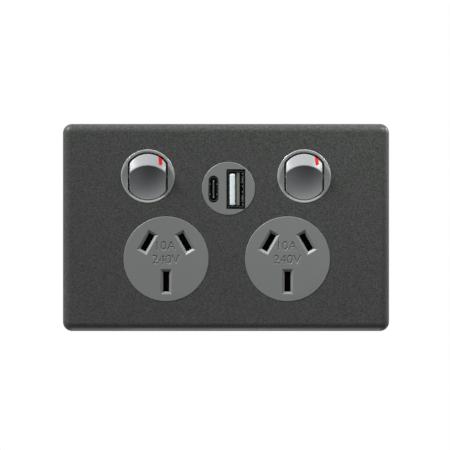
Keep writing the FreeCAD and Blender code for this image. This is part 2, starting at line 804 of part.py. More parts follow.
def rocker(side, sign):
    body = new_body(f"rocker_blank_{side}")
    pad(body, flatted_circle("rocker_diameter", "rocker_width"), "-rocker_skirt", f"{CREST} + form_lap")
    shaped = overlap_of(f"rocker_brow_{side}", body, brow_cone(f"brow_cone_{side}"))
    ball = doc.addObject("Part::Sphere", f"scoop_{side}")
    ball.Placement = FreeCAD.Placement(Vector(), FreeCAD.Rotation(X_AXIS, 90))
    bind(ball, Radius="scoop_radius")
    place(ball, "0", "-scoop_drop", SCOOP_CENTRE)
    # hollow back with a boss for the plunger
    inner_w = "rocker_width - 2 * rocker_wall"
    inner_d = "rocker_diameter - 2 * rocker_wall"
    cavity = new_body(f"rocker_hollow_{side}")
    pad(cavity, flatted_circle(inner_d, inner_w), "-rocker_skirt - cut_over", HOLLOW_TOP)
    scooped = take_away(f"rocker_shell_{side}", shaped, ball, cavity)
    boss = rod(f"boss_{side}", "0", "0", "-boss_reach", f"{HOLLOW_TOP} + form_lap", "boss_diameter")
    pin_length = "opening_width + 2 * pin_reach"
    pins = cross_rod(f"pins_{side}", "0", "0", "0", pin_length, "pin_diameter")
    solid = union(f"rocker_solid_{side}", scooped, boss, pins)
    bore_width = "plunger_diameter + 2 * plunger_play"
    bore = rod(f"plunger_bore_{side}", "0", "0", "-boss_reach - cut_over", "bore_top", bore_width)
    inset = stripe_prism(f"stripe_pocket_{side}", "2 * stripe_fit")
    moulding = take_away(f"rocker_moulding_{side}", solid, bore, inset)
    doc.recompute()
    soft = doc.addObject("Part::Fillet", f"rocker_{side}")
    soft.Label = f"rocker_{side}"
    soft.Base = moulding
    crest_front = size("pivot_below_face") + size("crest_rise")
    edges = []
    for number, edge in enumerate(moulding.Shape.Edges, start=1):
        if lies_at(crest_front)(edge):
            edges.append((number, size("crest_round"), size("crest_round")))
    soft.Edges = edges
    return keep(rest_tilt(soft, switch_x(sign), PIVOT, size("rocker_tilt")))


def stripe_prism(name, extra):
    """Upright bar from the stripe's lower end out past the rocker's edge."""
    body = new_body(name)
    width = f"(stripe_width + {extra})"
    length = "(2 * (rocker_diameter / 2 - stripe_start))"
    bar = slot(width, length)
    top = f"{CREST} + cut_over"
    low = f"pivot_below_face - stripe_sink - {extra}"
    middle = f"stripe_start - {extra} / 2 + {length} / 2"
    pad(body, bar, low, top, "stripe_side", middle, "stripe_lean")
    return body


def rocker_stripe(side, sign):
    bar = stripe_prism(f"stripe_bar_{side}", "0")
    outline = rod(f"stripe_limit_{side}", "0", "0", "-rocker_skirt", CREST, "rocker_diameter")
    piece = overlap_of(f"rocker_stripe_{side}", bar, outline, brow_cone(f"stripe_cone_{side}"))
    return keep(rest_tilt(piece, switch_x(sign), PIVOT, size("rocker_tilt")))


def plunger(side, sign):
    tip_radius = "plunger_diameter / 2"
    shaft = rod(
        f"plunger_shaft_{side}",
        "0",
        "0",
        f"-{PLUNGER_REACH} + {tip_radius}",
        "bore_top - spring_space",
        "plunger_diameter",
    )
    tip = doc.addObject("Part::Sphere", f"plunger_tip_{side}")
    bind(tip, Radius=tip_radius)
    place(tip, "0", "0", f"-{PLUNGER_REACH} + {tip_radius}")
    piece = union(f"plunger_{side}", shaft, tip)
    return keep(rest_tilt(piece, switch_x(sign), PIVOT, size("rocker_tilt")))


def plunger_spring(side, sign):
    """Coil of round wire between the plunger's head and the end of its bore."""
    wire = size("spring_wire")
    low = size("bore_top") - size("spring_space") + wire / 2 + size("spring_seat")
    high = size("bore_top") - wire / 2 - size("spring_seat")
    radius = size("plunger_diameter") / 2 - wire / 2 - size("plunger_play")
    length = high - low
    helix = Part.makeHelix(length / size("spring_turns"), length, radius)
    start = Vector(radius, 0, 0)
    ring = Part.Wire([Part.Circle(start, Y_AXIS, wire / 2).toShape()])
    coil = Part.Wire(helix.Edges).makePipeShell([ring], True, True)
    forward = FreeCAD.Placement(Vector(0, -low, 0), FreeCAD.Rotation(X_AXIS, 90))
    item = doc.addObject("Part::Feature", f"plunger_spring_{side}")
    item.Label = f"plunger_spring_{side}"
    item.Shape = coil.transformed(forward.toMatrix(), copy=True)
    return keep(rest_tilt(item, switch_x(sign), PIVOT, size("rocker_tilt")))


# See-saw contact lever in its cradle


def contact_lever(side, sign):
    half = "lever_thickness / 2"
    strip = block(f"lever_strip_{side}", "0", "0", "-" + half, half, "lever_width", "lever_length")
    span = "lever_width + 2 * (ear_gap + ear_thickness + lug_proud)"
    lugs = cross_rod(f"lever_lugs_{side}", "0", "0", "0", span, "lug_diameter")
    button = rod(
        f"moving_button_{side}", "0", "button_place", f"-{half} - button_rise", "0", "button_diameter"
    )
    piece = union(f"contact_lever_{side}", strip, lugs, button)
    return keep(rest_tilt(piece, switch_x(sign), LEVER_PIVOT, -size("lever_tilt")))


def lever_cradle(side, sign):
    x = switch_x(sign)
    z = "switch_height"
    inside = "lever_width + 2 * ear_gap"
    wide = f"{inside} + 2 * ear_thickness"
    base = block(f"cradle_base_{side}", x, z, SWITCH_FLOOR, CRADLE_FRONT, wide, "cradle_height")
    ears = []
    for name, edge in SIDES:
        ear_x = f"{x} + {edge} * ({inside} + ear_thickness) / 2"
        ears.append(
            block(
                f"cradle_ear_{side}_{name}",
                ear_x,
                z,
                SWITCH_FLOOR,
                f"{LEVER_PIVOT} + ear_lip",
                "ear_thickness",
                "cradle_height / 2",
            )
        )
    tail = tail_back(f"cradle_tail_{side}", f"{x} - tail_side", z, ACTIVE_BAR_FRONT, SWITCH_FLOOR)
    solid = union(f"cradle_solid_{side}", base, tail, *ears)
    seat_width = "lug_diameter + 2 * lug_play"
    seat = cross_rod(f"cradle_seat_{side}", x, z, LEVER_PIVOT, f"{inside} + 4 * ear_thickness", seat_width)
    mouth = block(
        f"cradle_mouth_{side}",
        x,
        z,
        LEVER_PIVOT,
        f"{LEVER_PIVOT} + ear_lip + cut_over",
        f"{inside} + 4 * ear_thickness",
        seat_width,
    )
    return keep(take_away(f"lever_cradle_{side}", solid, seat, mouth))


# Contact strips: bent sheet clips that grip the pins of a plug, joined by bars


def tail_back(name, x, z, low, high):
    """Tail that runs back from a strip through the floor behind it."""
    return block(name, x, z, low, high, "tail_width", "strip_thickness")


def pin_clip(name, x, z, turn):
    """Two leaves on a web, drawn in plan and extruded by the clip's width."""
    body = new_body(name)
    front = "-clip_front"
    neck = "-clip_front + clip_flare"
    back = f"-{BAR_FRONT}"
    outer = (
        ("clip_half_base", back),
        ("clip_half_pinch", neck),
        ("clip_half_mouth", front),
        ("clip_half_mouth - clip_leaf", front),
        ("clip_half_pinch - clip_leaf", neck),
        ("clip_half_base - clip_leaf", f"{back} - clip_leaf"),
    )
    mirrored = tuple((f"-({a})", b) for a, b in reversed(outer))
    profile = outer + mirrored
    pad(body, polygon(profile), "-clip_width / 2", "clip_width / 2", role="XY_Plane")
    body.Placement = FreeCAD.Placement(Vector(), FreeCAD.Rotation(Y_AXIS, 1))
    bind(body, Placement__Rotation__Angle=f"-({turn})")
    return place(body, x, z, "0")


def flat_strip(name, x, z, width, height):
    return block(name, x, z, BAR_BACK, BAR_FRONT, width, height)


def socket_active_contact(side, sign):
    """Active clip of one socket and the strip that joins it to its switch."""
    clip_x, clip_z, turn, _ = slot_places(sign)[0]
    post_x = f"({switch_x(sign)} + post_side)"
    post_z = "(switch_height + button_place + button_diameter / 2)"
    clip = pin_clip(f"active_clip_{side}", clip_x, clip_z, turn)
    rise = flat_strip(
        f"active_rise_{side}",
        clip_x,
        f"({clip_z} + link_height) / 2",
        "strip_width",
        f"link_height - ({clip_z}) + strip_width",
    )
    link = flat_strip(
        f"active_link_{side}",
        f"(({clip_x}) + {post_x}) / 2",
        "link_height",
        f"{post_x} - ({clip_x}) + post_width",
        "strip_width",
    )
    run = flat_strip(
        f"active_run_{side}",
        post_x,
        f"(link_height + {post_z}) / 2",
        "post_width",
        f"{post_z} - link_height + strip_thickness",
    )
    button_top = (
        f"({LEVER_PIVOT} - lever_thickness / 2 - button_rise"
        " - button_place * tan(lever_tilt) - button_gap)"
    )
    rest_top = f"({button_top} - button_rise)"
    post = block(
        f"active_post_{side}", post_x, post_z, BAR_BACK, rest_top, "post_width", "strip_thickness"
    )
    arm_width = "(post_side + post_width / 2 + button_diameter / 2)"
    arm = block(
        f"active_arm_{side}",
        f"{post_x} + post_width / 2 - {arm_width} / 2",
        f"{post_z} + strip_thickness / 2 - (button_diameter + strip_thickness) / 2",
        f"{rest_top} - strip_thickness",
        rest_top,
        arm_width,
        "button_diameter + strip_thickness",
    )
    button = rod(
        f"fixed_button_{side}",
        switch_x(sign),
        "switch_height + button_place",
        rest_top,
        button_top,
        "button_diameter",
    )
    return keep(union(f"socket_active_contact_{side}", clip, rise, link, run, post, arm, button))


def neutral_bar():
    pieces = []
    left_x = slot_places("-1")[1][0]
    right_x = slot_places("1")[1][0]
    pieces.append(
        flat_strip(
            "neutral_strip",
            f"(({left_x}) + ({right_x})) / 2",
            "-socket_drop",
            f"({right_x}) - ({left_x}) + strip_width",
            "strip_width",
        )
    )
    for side, sign in SIDES:
        clip_x, clip_z, turn, _ = slot_places(sign)[1]
        pieces.append(pin_clip(f"neutral_clip_{side}", clip_x, clip_z, turn))
        tab_z = f"({clip_z} - socket_drop) / 2"
        height = f"{clip_z} + socket_drop + strip_width"
        pieces.append(flat_strip(f"neutral_tab_{side}", clip_x, tab_z, "strip_width", height))
    x, z = terminal_places()["neutral"]
    pieces.append(tail_back("neutral_tail", x, z, "-housing_depth", BAR_BACK))
    return keep(union("neutral_bar", *pieces))


def earth_bar():
    pieces = []
    height = "-socket_drop - earth_drop"
    width = "socket_spacing + strip_width"
    pieces.append(flat_strip("earth_strip", "socket_offset", height, width, "strip_width"))
    for side, sign in SIDES:
        clip_x, clip_z, turn, _ = slot_places(sign)[2]
        pieces.append(pin_clip(f"earth_clip_{side}", clip_x, clip_z, turn))
    x, z = terminal_places()["earth"]
    pieces.append(tail_back("earth_tail", x, z, "-housing_depth", BAR_BACK))
    return keep(union("earth_bar", *pieces))


def active_bar():
    """Feeds both switches, and passes above the USB module."""
    low, high = ACTIVE_BAR_BACK, ACTIVE_BAR_FRONT
    width = "switch_spacing + tail_width"
    strip = block("active_strip", "-tail_side", "active_bar_height", low, high, width, "active_bar_width")
    pieces = [strip]
    for side, sign in SIDES:
        x = f"{switch_x(sign)} - tail_side"
        z = "(active_bar_height + switch_height) / 2"
        height = "active_bar_height - switch_height + strip_thickness"
        pieces.append(block(f"active_drop_{side}", x, z, low, high, "tail_width", height))
    x = terminal_places()["active"][0]
    pieces.append(tail_back("active_tail", x, "active_bar_height", "-housing_depth", low))
    return keep(union("active_bar", *pieces))


# Rear housing: a deep tray that closes the back


def rear_housing():
    body = new_body("rear_housing")
    z = "housing_rise"
    pad(body, rectangle("housing_width", "housing_height"), "-housing_depth", "-frame_step", z=z)
    half_w = size("housing_width") / 2
    half_h = size("housing_height") / 2
    round_edges(body, "housing_corner", upright_at(half_w, half_h, size("housing_rise")))
    inside = rectangle("housing_width - 2 * housing_wall", "housing_height - 2 * housing_wall")
    pocket(body, inside, FLOOR_INSIDE, "-frame_step + cut_over", z=z)
    floor = FLOOR_INSIDE + " - form_lap"
    outside = "-housing_depth - cut_over"
    for x, z in case_screw_places():
        pad(body, circle("column_diameter"), floor, "-frame_boss_depth", x, z)
        hole = circle("case_screw_diameter + 2 * case_screw_play")
        pocket(body, hole, outside, "-frame_boss_depth + cut_over", x, z)
        head = circle("case_head_diameter + 2 * case_screw_play")
        pocket(body, head, outside, "-housing_depth + head_pocket_depth", x, z)
    # rests under the bars
    bar_rests = [("-post_side * 2", "-socket_drop"), ("post_side * 2", "-socket_drop")]
    bar_rests += [("-post_side * 2", "-socket_drop - earth_drop"), ("post_side", "-socket_drop - earth_drop")]
    for x, z in bar_rests:
        rest = rectangle("rest_width", "strip_width")
        pad(body, rest, floor, BAR_BACK, x, z)
    for _, sign in SIDES:
        x = f"{sign} * switch_spacing / 3"
        rest = rectangle("rest_width", "active_bar_width")
        pad(body, rest, floor, ACTIVE_BAR_BACK, x, "active_bar_height")
        clip_x, clip_z, _, _ = slot_places(sign)[0]
        rest = rectangle("rest_width", "strip_width")
        pad(body, rest, floor, BAR_BACK, f"({clip_x})", clip_z)
    # guards beside each terminal, and a slot for its tail
    for name, (x, z) in terminal_places().items():
        for edge in ("1", "-1"):
            side = f"({x} + {edge} * (terminal_width / 2 + terminal_gap + guard_wall / 2))"
            wall = rectangle("guard_wall", "terminal_height")
            low = "-housing_depth - terminal_depth"
            pad(body, wall, low, "-housing_depth + form_lap", side, z)
        tail_z = "active_bar_height" if name == "active" else z
        slot_hole = rectangle("tail_width + 2 * slot_fit", "strip_thickness + 2 * slot_fit")
        pocket(body, slot_hole, outside, FLOOR_INSIDE + " + cut_over", x, tail_z)
    return keep(body)


# Terminals with a tunnel for the wire, clamped by a screw from the back


def terminal(name):
    x, z = terminal_places()[name]
    top = "-housing_depth"
    low = "-housing_depth - terminal_depth"
    brass = block(f"{name}_brass", x, z, low, top, "terminal_width", "terminal_height")
    length = "terminal_height + 2 * cut_over"
    tunnel = upright_rod(f"{name}_tunnel", x, z, TUNNEL_MIDDLE, length, "terminal_bore")
    thread = rod(f"{name}_thread", x, z, low + " - cut_over", TUNNEL_MIDDLE, "terminal_screw_diameter")
    return keep(take_away(f"{name}_terminal", brass, tunnel, thread))


def slotted_screw(name, x, z, head_low, head_height, head_diameter, shank_top, shank_diameter):
    """Screw that goes forward from its head, with a slot for the driver."""
    head = rod(f"{name}_head", x, z, head_low, f"({head_low}) + {head_height}", head_diameter)
    shank = rod(f"{name}_shank", x, z, f"({head_low}) + {head_height} / 2", shank_top, shank_diameter)
    whole = union(f"{name}_blank", head, shank)
    groove = block(
        f"{name}_groove",
        x,
        z,
        f"({head_low}) - cut_over",
        f"({head_low}) + drive_slot_depth",
        f"{head_diameter} + cut_over",
        "drive_slot_width",
    )
    return take_away(name, whole, groove)


def terminal_screws():
    screws = []
    back = "-housing_depth - terminal_depth"
    reach = f"({TUNNEL_MIDDLE} - terminal_bore / 2)"
    for name, (x, z) in terminal_places().items():
        screws.append(
            slotted_screw(
                f"{name}_screw",
                x,
                z,
                f"{back} - terminal_head_height",
                "terminal_head_height",
                "terminal_head_diameter",
                reach,
                "terminal_screw_diameter",
            )
        )
    return keep(group("terminal_screws", *screws))


def housing_screws():
    screws = []
    seat = "-housing_depth + head_pocket_depth"
    for number, (x, z) in enumerate(case_screw_places(), start=1):
        screws.append(
            slotted_screw(
                f"case_screw_{number}",
                x,
                z,
                f"{seat} - case_head_height",
                "case_head_height",
                "case_head_diameter",
                "case_screw_end",
                "case_screw_diameter",
            )
        )
    return keep(group("housing_screws", *screws))


# USB charger module


def usb_x(side="0"):
    return f"(usb_side + {side})"


USB_Z = "(usb_height - port_drop)"
PORT_TOP = f"({FACE} - shell_recess)"
BOARD_FRONT = "(-board_back + board_thickness)"


def usb_housing():
    body = new_body("usb_housing")
    x, z = "usb_side", "usb_height"
    pad(body, rectangle("usb_shoulder", "usb_shoulder"), "frame_thickness", SHOULDER_TOP, x, z)
    pad(body, rectangle("usb_box", "usb_box"), USB_BACK, "frame_thickness", x, z)
    pad(body, circle("usb_diameter"), "frame_thickness", FACE, x, z)
    inside = rectangle("usb_box - 2 * usb_box_wall", "usb_box - 2 * usb_box_wall")
    floor = f"{FACE} - usb_front_wall"
    pocket(body, inside, USB_BACK + " - cut_over", floor, x, z)
    port_a = rectangle("port_a_width", "port_a_length")
    pocket(body, port_a, floor + " - cut_over", FACE, usb_x("port_a_side"), USB_Z)
    port_c = slot("port_c_width", "port_c_length")
    pocket(body, port_c, floor + " - cut_over", FACE, usb_x("-port_c_side"), USB_Z)
    face = size("plate_depth") + size("face_proud")
    round_edges(body, "face_edge_round", circle_at(face, size("usb_diameter") / 2))
    # openings in the walls for the two mains leads
    for rise in ("1", "-1"):
        wall_z = f"{z} + {rise} * usb_box / 2"
        opening = rectangle("lead_width + 2 * slot_fit", "4 * usb_box_wall")
        pocket(body, opening, USB_BACK + " - cut_over", f"{BAR_FRONT} + slot_fit", x, wall_z)
    return keep(body)


def usb_back_cover():
    body = new_body("usb_back_cover")
    x, z = "usb_side", "usb_height"
    pad(body, rectangle("usb_box", "usb_box"), USB_BACK + " - usb_back_thickness", USB_BACK, x, z)
    plug = "usb_box - 2 * usb_box_wall - 2 * box_fit"
    pad(body, rectangle(plug, plug), USB_BACK, CHARGER_BACK, x, z)
    return keep(body)


def usb_a_shell():
    body = new_body("usb_a_shell")
    x = usb_x("port_a_side")
    pad(body, rectangle("shell_a_width", "shell_a_length"), BOARD_FRONT, PORT_TOP, x, USB_Z)
    inside = rectangle("shell_a_width - 2 * shell_wall", "shell_a_length - 2 * shell_wall")
    pocket(body, inside, f"{BOARD_FRONT} + shell_wall", PORT_TOP, x, USB_Z)
    return keep(body)


def usb_c_shell():
    body = new_body("usb_c_shell")
    x = usb_x("-port_c_side")
    pad(body, slot("shell_c_width", "shell_c_length"), BOARD_FRONT, PORT_TOP, x, USB_Z)
    inside = slot("shell_c_width - 2 * shell_wall", "shell_c_length - 2 * shell_wall")
    pocket(body, inside, f"{BOARD_FRONT} + shell_wall", PORT_TOP, x, USB_Z)
    return keep(body)


A_TONGUE_X = usb_x("port_a_side - tongue_a_side")


def usb_a_tongue():
    body = new_body("usb_a_tongue")
    low = f"{BOARD_FRONT} + shell_wall"
    high = f"{PORT_TOP} - tongue_recess"
    pad(body, rectangle("tongue_a_width", "tongue_a_length"), low, high, A_TONGUE_X, USB_Z)
    return keep(body)


def usb_a_contacts():
    """Four spring strips that lie on the tongue, facing the open side of the shell."""
    strips = []
    x = f"{A_TONGUE_X} + (tongue_a_width + contact_thickness) / 2"
    low = f"{BOARD_FRONT} + shell_wall"
    high = f"{PORT_TOP} - tongue_recess - contact_setback"
    for number in range(4):
        z = f"{USB_Z} + ({number} - 1.5) * contact_pitch"
        name = f"usb_strip_{number + 1}"
        strips.append(block(name, x, z, low, high, "contact_thickness", "contact_width"))
    return keep(group("usb_a_contacts", *strips))


def usb_c_tongue():
    body = new_body("usb_c_tongue")
    low = f"{BOARD_FRONT} + shell_wall"
    high = f"{PORT_TOP} - tongue_recess"
    pad(body, rectangle("tongue_c_width", "tongue_c_length"), low, high, usb_x("-port_c_side"), USB_Z)
    return keep(body)


def usb_circuit_board():
    body = new_body("usb_circuit_board")
    x, z = "usb_side", "usb_height"
    pad(body, rectangle("board_side", "board_side"), "-board_back", BOARD_FRONT, x, z)
    # notches where the mains leads reach the board
    for rise in ("1", "-1"):
        notch_z = f"{z} + {rise} * board_side / 2"
        notch = rectangle("lead_width + 2 * slot_fit", "2 * usb_box_wall")
        pocket(body, notch, "-board_back - cut_over", BOARD_FRONT, x, notch_z)
    return keep(body)


CORE_X = "(usb_side - core_side)"
CORE_BACK = f"({CHARGER_BACK} + core_back_gap)"


def transformer():
    """Ferrite frame round a wound bobbin."""
    z = "usb_height"
    frame = block("core_block", CORE_X, z, CORE_BACK, "-board_back", "core_width", "core_height")
    window = block(
        "core_window",
        CORE_X,
        z,
        f"{CORE_BACK} + core_wall",
        "-board_back - core_wall",
        "core_width - 2 * core_wall",
        "core_height + 2 * cut_over",
    )
    keep(take_away("transformer_core", frame, window))
    gap = "2 * slot_fit"
    winding = block(
        "winding_block",
        CORE_X,
        z,
        f"{CORE_BACK} + core_wall + slot_fit",
        "-board_back - core_wall - slot_fit",
        f"core_width - 2 * core_wall - {gap}",
        "core_height + 2 * winding_proud",
    )
    winding.Label = "transformer_winding"
    keep(winding)


def smoothing_capacitors():
    cans = []
    x = usb_x("capacitor_side")
    low = f"{CHARGER_BACK} + capacitor_back_gap"
    for side, sign in SIDES:
        z = f"usb_height + {sign} * capacitor_spacing / 2"
        cans.append(rod(f"capacitor_{side}", x, z, low, "-board_back", "capacitor_diameter"))
    return keep(group("smoothing_capacitors", *cans))


def charger_chip():
    x = usb_x("capacitor_side")
    low = "-board_back - chip_thickness"
    chip = block("charger_chip", x, "usb_height", low, "-board_back", "chip_side", "chip_side")
    chip.Label = "charger_chip"
    return keep(chip)


def usb_leads():
    """Mains leads of the charger: strips from the bars to the edges of its board."""
    x = "usb_side"
    # neutral lead rises from the neutral bar
    foot_z = "(-socket_drop + strip_width / 2)"
    top_z = "(usb_height - board_side / 2 + usb_box_wall)"
    middle = f"({foot_z} + {top_z}) / 2"
    rise = flat_strip("neutral_lead_rise", x, middle, "lead_width", f"{top_z} - {foot_z}")
    end = block(
        "neutral_lead_end",
        x,
        f"{top_z} - strip_thickness / 2",
        BAR_BACK,
        BOARD_FRONT,
        "lead_width",
        "strip_thickness",
    )
    keep(union("usb_neutral_lead", rise, end))
    # active lead drops from the active bar
    bottom_z = "(usb_height + board_side / 2 - usb_box_wall)"
    drop_z = f"(active_bar_height + {bottom_z}) / 2"
    height = f"active_bar_height - {bottom_z} + active_bar_width / 2"
    drop = flat_strip("active_lead_drop", x, f"{drop_z} + active_bar_width / 4", "lead_width", height)
    foot = block(
        "active_lead_foot",
        x,
        "active_bar_height + active_bar_width / 2 - strip_thickness / 2",
        ACTIVE_BAR_FRONT,
        BAR_BACK,
        "lead_width",
        "strip_thickness",
    )
    end = block(
        "active_lead_end",
        x,
        f"{bottom_z} + strip_thickness / 2",
        BAR_BACK,
        BOARD_FRONT,
        "lead_width",
        "strip_thickness",
    )
    keep(union("usb_active_lead", drop, foot, end))


# Building

cover_plate()
mounting_frame()
for side_name, side_sign in SIDES:
    socket_face(side_name, side_sign)
    switch_body(side_name, side_sign)
    rocker(side_name, side_sign)
    rocker_stripe(side_name, side_sign)
    plunger(side_name, side_sign)
    plunger_spring(side_name, side_sign)
    contact_lever(side_name, side_sign)
    lever_cradle(side_name, side_sign)
    socket_active_contact(side_name, side_sign)
active_bar()
neutral_bar()
earth_bar()
rear_housing()
for terminal_name in terminal_places():
    terminal(terminal_name)
terminal_screws()
housing_screws()
usb_housing()
usb_back_cover()
usb_a_shell()
usb_a_tongue()
usb_a_contacts()
usb_c_shell()
usb_c_tongue()
usb_circuit_board()
transformer()
smoothing_capacitors()
charger_chip()
usb_leads()
doc.recompute()

# Checking and writing

failed = [item.Name for item in doc.Objects if {"Invalid", "Error"} & set(item.State)]
if failed:
    raise RuntimeError(f"failed: {failed}")
for item in nodes:
    shape = item.Shape
    if shape.isNull() or not shape.isValid():
        raise RuntimeError(f"{item.Label} has no valid shape")
    shape.exportStep(f"parts/{item.Label}.step")
    box = shape.BoundBox
    print(
        f"{item.Label:28s} solids {len(shape.Solids)} volume {shape.Volume:9.1f}"
        f" x {box.XMin:7.2f} {box.XMax:7.2f} y {box.YMin:7.2f} {box.YMax:7.2f}"
        f" z {box.ZMin:7.2f} {box.ZMax:7.2f}"
    )
print(len(nodes), "nodes")
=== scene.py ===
"""Double wall socket with a USB charger: its finer mouldings, its finishes and a plain studio.

Lengths are in metres, in the frame of the solids: x to the right, z up, front faces towards -y.
"""

import json
import math
import bmesh
import bpy
import numpy as np
from bpy.props import FloatProperty, FloatVectorProperty, PointerProperty
from mathutils import Matrix, Vector


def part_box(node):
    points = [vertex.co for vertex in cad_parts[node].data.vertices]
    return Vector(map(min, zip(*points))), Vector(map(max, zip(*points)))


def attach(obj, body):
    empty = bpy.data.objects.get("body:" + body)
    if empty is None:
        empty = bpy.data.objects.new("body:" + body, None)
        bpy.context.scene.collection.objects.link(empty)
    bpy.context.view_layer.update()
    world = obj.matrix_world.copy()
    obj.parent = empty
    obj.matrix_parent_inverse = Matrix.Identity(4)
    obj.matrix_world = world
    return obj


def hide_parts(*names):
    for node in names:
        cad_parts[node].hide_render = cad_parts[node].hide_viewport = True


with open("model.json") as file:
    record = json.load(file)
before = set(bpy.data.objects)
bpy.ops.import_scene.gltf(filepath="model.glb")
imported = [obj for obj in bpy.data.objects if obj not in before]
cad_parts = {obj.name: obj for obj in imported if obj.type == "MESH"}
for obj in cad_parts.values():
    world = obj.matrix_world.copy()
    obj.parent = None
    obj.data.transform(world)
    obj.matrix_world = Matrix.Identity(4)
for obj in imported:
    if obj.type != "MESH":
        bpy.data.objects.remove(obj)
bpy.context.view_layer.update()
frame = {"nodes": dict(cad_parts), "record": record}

bl_info = {
    "name": "Double wall socket with USB charger",
    "version": (1, 0, 0),
    "blender": (4, 5, 0),
    "location": "View3D > Sidebar > Wall Socket",
    "description": "Builds the visible mouldings, ports and finishes of a wall socket",
    "category": "Add Mesh",
}

MM = 0.001
SIDES = (("left", -1), ("right", 1))
PLATE_FRONT_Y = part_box("cover_plate")[0].y
FACE_FRONT_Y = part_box("socket_face_left")[0].y
# Contacts and bars deep inside the slots and the port: their brass and gold are swapped for a darkened
# brass, painted shade for the shade they lie in
CONTACTS_IN_PAINTED_SHADE = ("socket_active_contact", "neutral_bar", "earth_bar", "usb_a_contacts")

# Finishes: width of a moulding's drifts of tone, how far its roughness drifts with them, and how far
# the stains of a metal change its colour
DRIFT_SIZE = 18 * MM
GLOSS_DRIFT = 0.04
STAIN = 0.12

# Points of a mesh closer than the first are one point. Edges of the socket faces bent by more degrees
# than the second stay sharp. A face that gains fewer corners than the third has lost its figures.
MERGE_GAP = 0.0005 * MM
FACE_SHARP = 25
FEWEST_NEW_CORNERS = 100

# Width over which the rocker's round ends blend into its flat sides, and a floor for divisors
CORNER_BLEND = 0.25 * MM
NEARLY_ZERO = 1e-6

# Studio: each lamp's place and width in metres and its power in watts, the light of the surroundings,
# and the floor's half width, its grey and the brightness that it adds where it is seen
LAMPS = {
    "upper_left_softbox": ((-0.95, -0.38, 1.12), 0.45, 46.0),
    "upper_right_softbox": ((0.17, -0.11, 0.2), 0.08, 0.66),
    "low_softbox": ((0.0, 0.1, -0.6), 0.1, 1.6),
    "right_back_softbox": ((0.6, 0.15, 0.3), 0.12, 4.2),
}
SOFT_LIGHT = 0.021
FLOOR_REACH = 12.0
FLOOR_GREY = (0.5, 0.5, 0.5)
FLOOR_GLOW = 0.8
WHITE = (1, 1, 1, 1)


# Sizes and colours that can be set


def length(name, description, millimetres):
    return FloatProperty(
        name=name, description=description, default=millimetres * MM, unit="LENGTH", precision=5
    )


def slant(name, description, degrees):
    return FloatProperty(
        name=name, description=description, default=math.radians(degrees), subtype="ANGLE"
    )


def colour(name, description, value):
    return FloatVectorProperty(
        name=name, description=description, default=value, size=3, subtype="COLOR", min=0, max=1
    )


class SwitchSizes(bpy.types.PropertyGroup):
    height: length("Height", "Height of the switches above the plate's middle", 18.8)
    spacing: length("Spacing", "Distance between the two switches", 57.4)
    pivot_depth: length("Pivot depth", "How far the rocker's pivot lies behind the faces", 2.2)
    rocker_diameter: length("Rocker diameter", "Diameter of the rocker's round ends", 16.7)
    rocker_width: length("Rocker width", "Distance between the rocker's flat sides", 13.3)
    rim_round: length("Rim round", "Radius of the rocker's soft rim", 0.25)
    skirt: length("Skirt", "How far the rocker's side reaches behind its pivot", 1.2)
    wall: length("Wall", "Thickness of the rocker's wall", 1.3)
    crest_height: length("Crest height", "Height of the crest in front of the pivot", 4.4)
    crest_softness: length("Crest softness", "Width over which brow and scoop blend", 0.2)
    crest_radius: length("Crest radius", "Radius of the crest's arc", 9.0)
    scoop_drop: length("Scoop drop", "How far the arc's centre lies below the pivot", 4.36)
    scoop_radius: length("Scoop radius", "Radius of the hollow thumb surface", 23.0)
    pin_diameter: length("Pin diameter", "Diameter of the rocker's pins", 2.2)
    pin_reach: length("Pin reach", "Distance from the rocker's middle to a pin's end", 9.0)
    boss_diameter: length("Boss diameter", "Diameter of the boss behind the rocker", 5.6)
    boss_bore: length("Boss bore", "Diameter of the bore for the plunger", 3.3)
    boss_reach: length("Boss reach", "How far the boss reaches behind the pivot", 5.2)
    stripe_side: length("Stripe side", "Sideways place of the stripe", 4.47)
    stripe_width: length("Stripe width", "Width of the red stripe", 1.25)
    stripe_start: length("Stripe start", "Height of the stripe's lower end above the pivot", 4.5)
    stripe_lean: slant("Stripe lean", "Lean of the stripe to the left", 4)
    rest_tilt: slant("Tilt", "Tilt of the rocker at ON", 8)
    brow_slope: slant("Brow slope", "Slope above the crest", 38)


class FaceSizes(bpy.types.PropertyGroup):
    slot_side: length("Slot side", "Sideways place of the two slanted slots", 6.86)
    slot_rise: length("Slot rise", "Height of the slanted slots above the face's middle", 6.15)
    earth_drop: length("Earth drop", "Drop of the upright slot below the face's middle", 8.3)
    slot_width: length("Slot width", "Width of every slot", 1.9)
    slot_length: length("Slot length", "Length of the slanted slots", 6.4)
    earth_length: length("Earth length", "Length of the upright slot", 7.0)
    solid_bevel: length("Bevel of the solid", "Width and depth of the bevel in the solid", 1.4)
    bevel_start: length("Bevel start", "Space between the slot's wall and the bevel's inner edge", 0.2)
    bevel_width: length("Bevel width", "Reach of the bevel out from the slot's wall", 1.08)
    bevel_depth: length("Bevel depth", "Depth of the bevel round each slot", 0.6)
    slot_tilt: slant("Slot tilt", "Tilt of the slanted slots", 30)


class FigureSizes(bpy.types.PropertyGroup):
    height: length("Height", "Height of the figures", 3.2)
    current_width: length("Width of 10A", "Width of the upper line", 7.1)
    voltage_width: length("Width of 240V", "Width of the lower line", 9.95)
    current_rise: length("Place of 10A", "Height of the upper line above the face's middle", 4.85)
    voltage_drop: length("Place of 240V", "Drop of the lower line below the face's middle", 0.2)
    depth: length("Depth", "Depth of the engraving", 0.2)


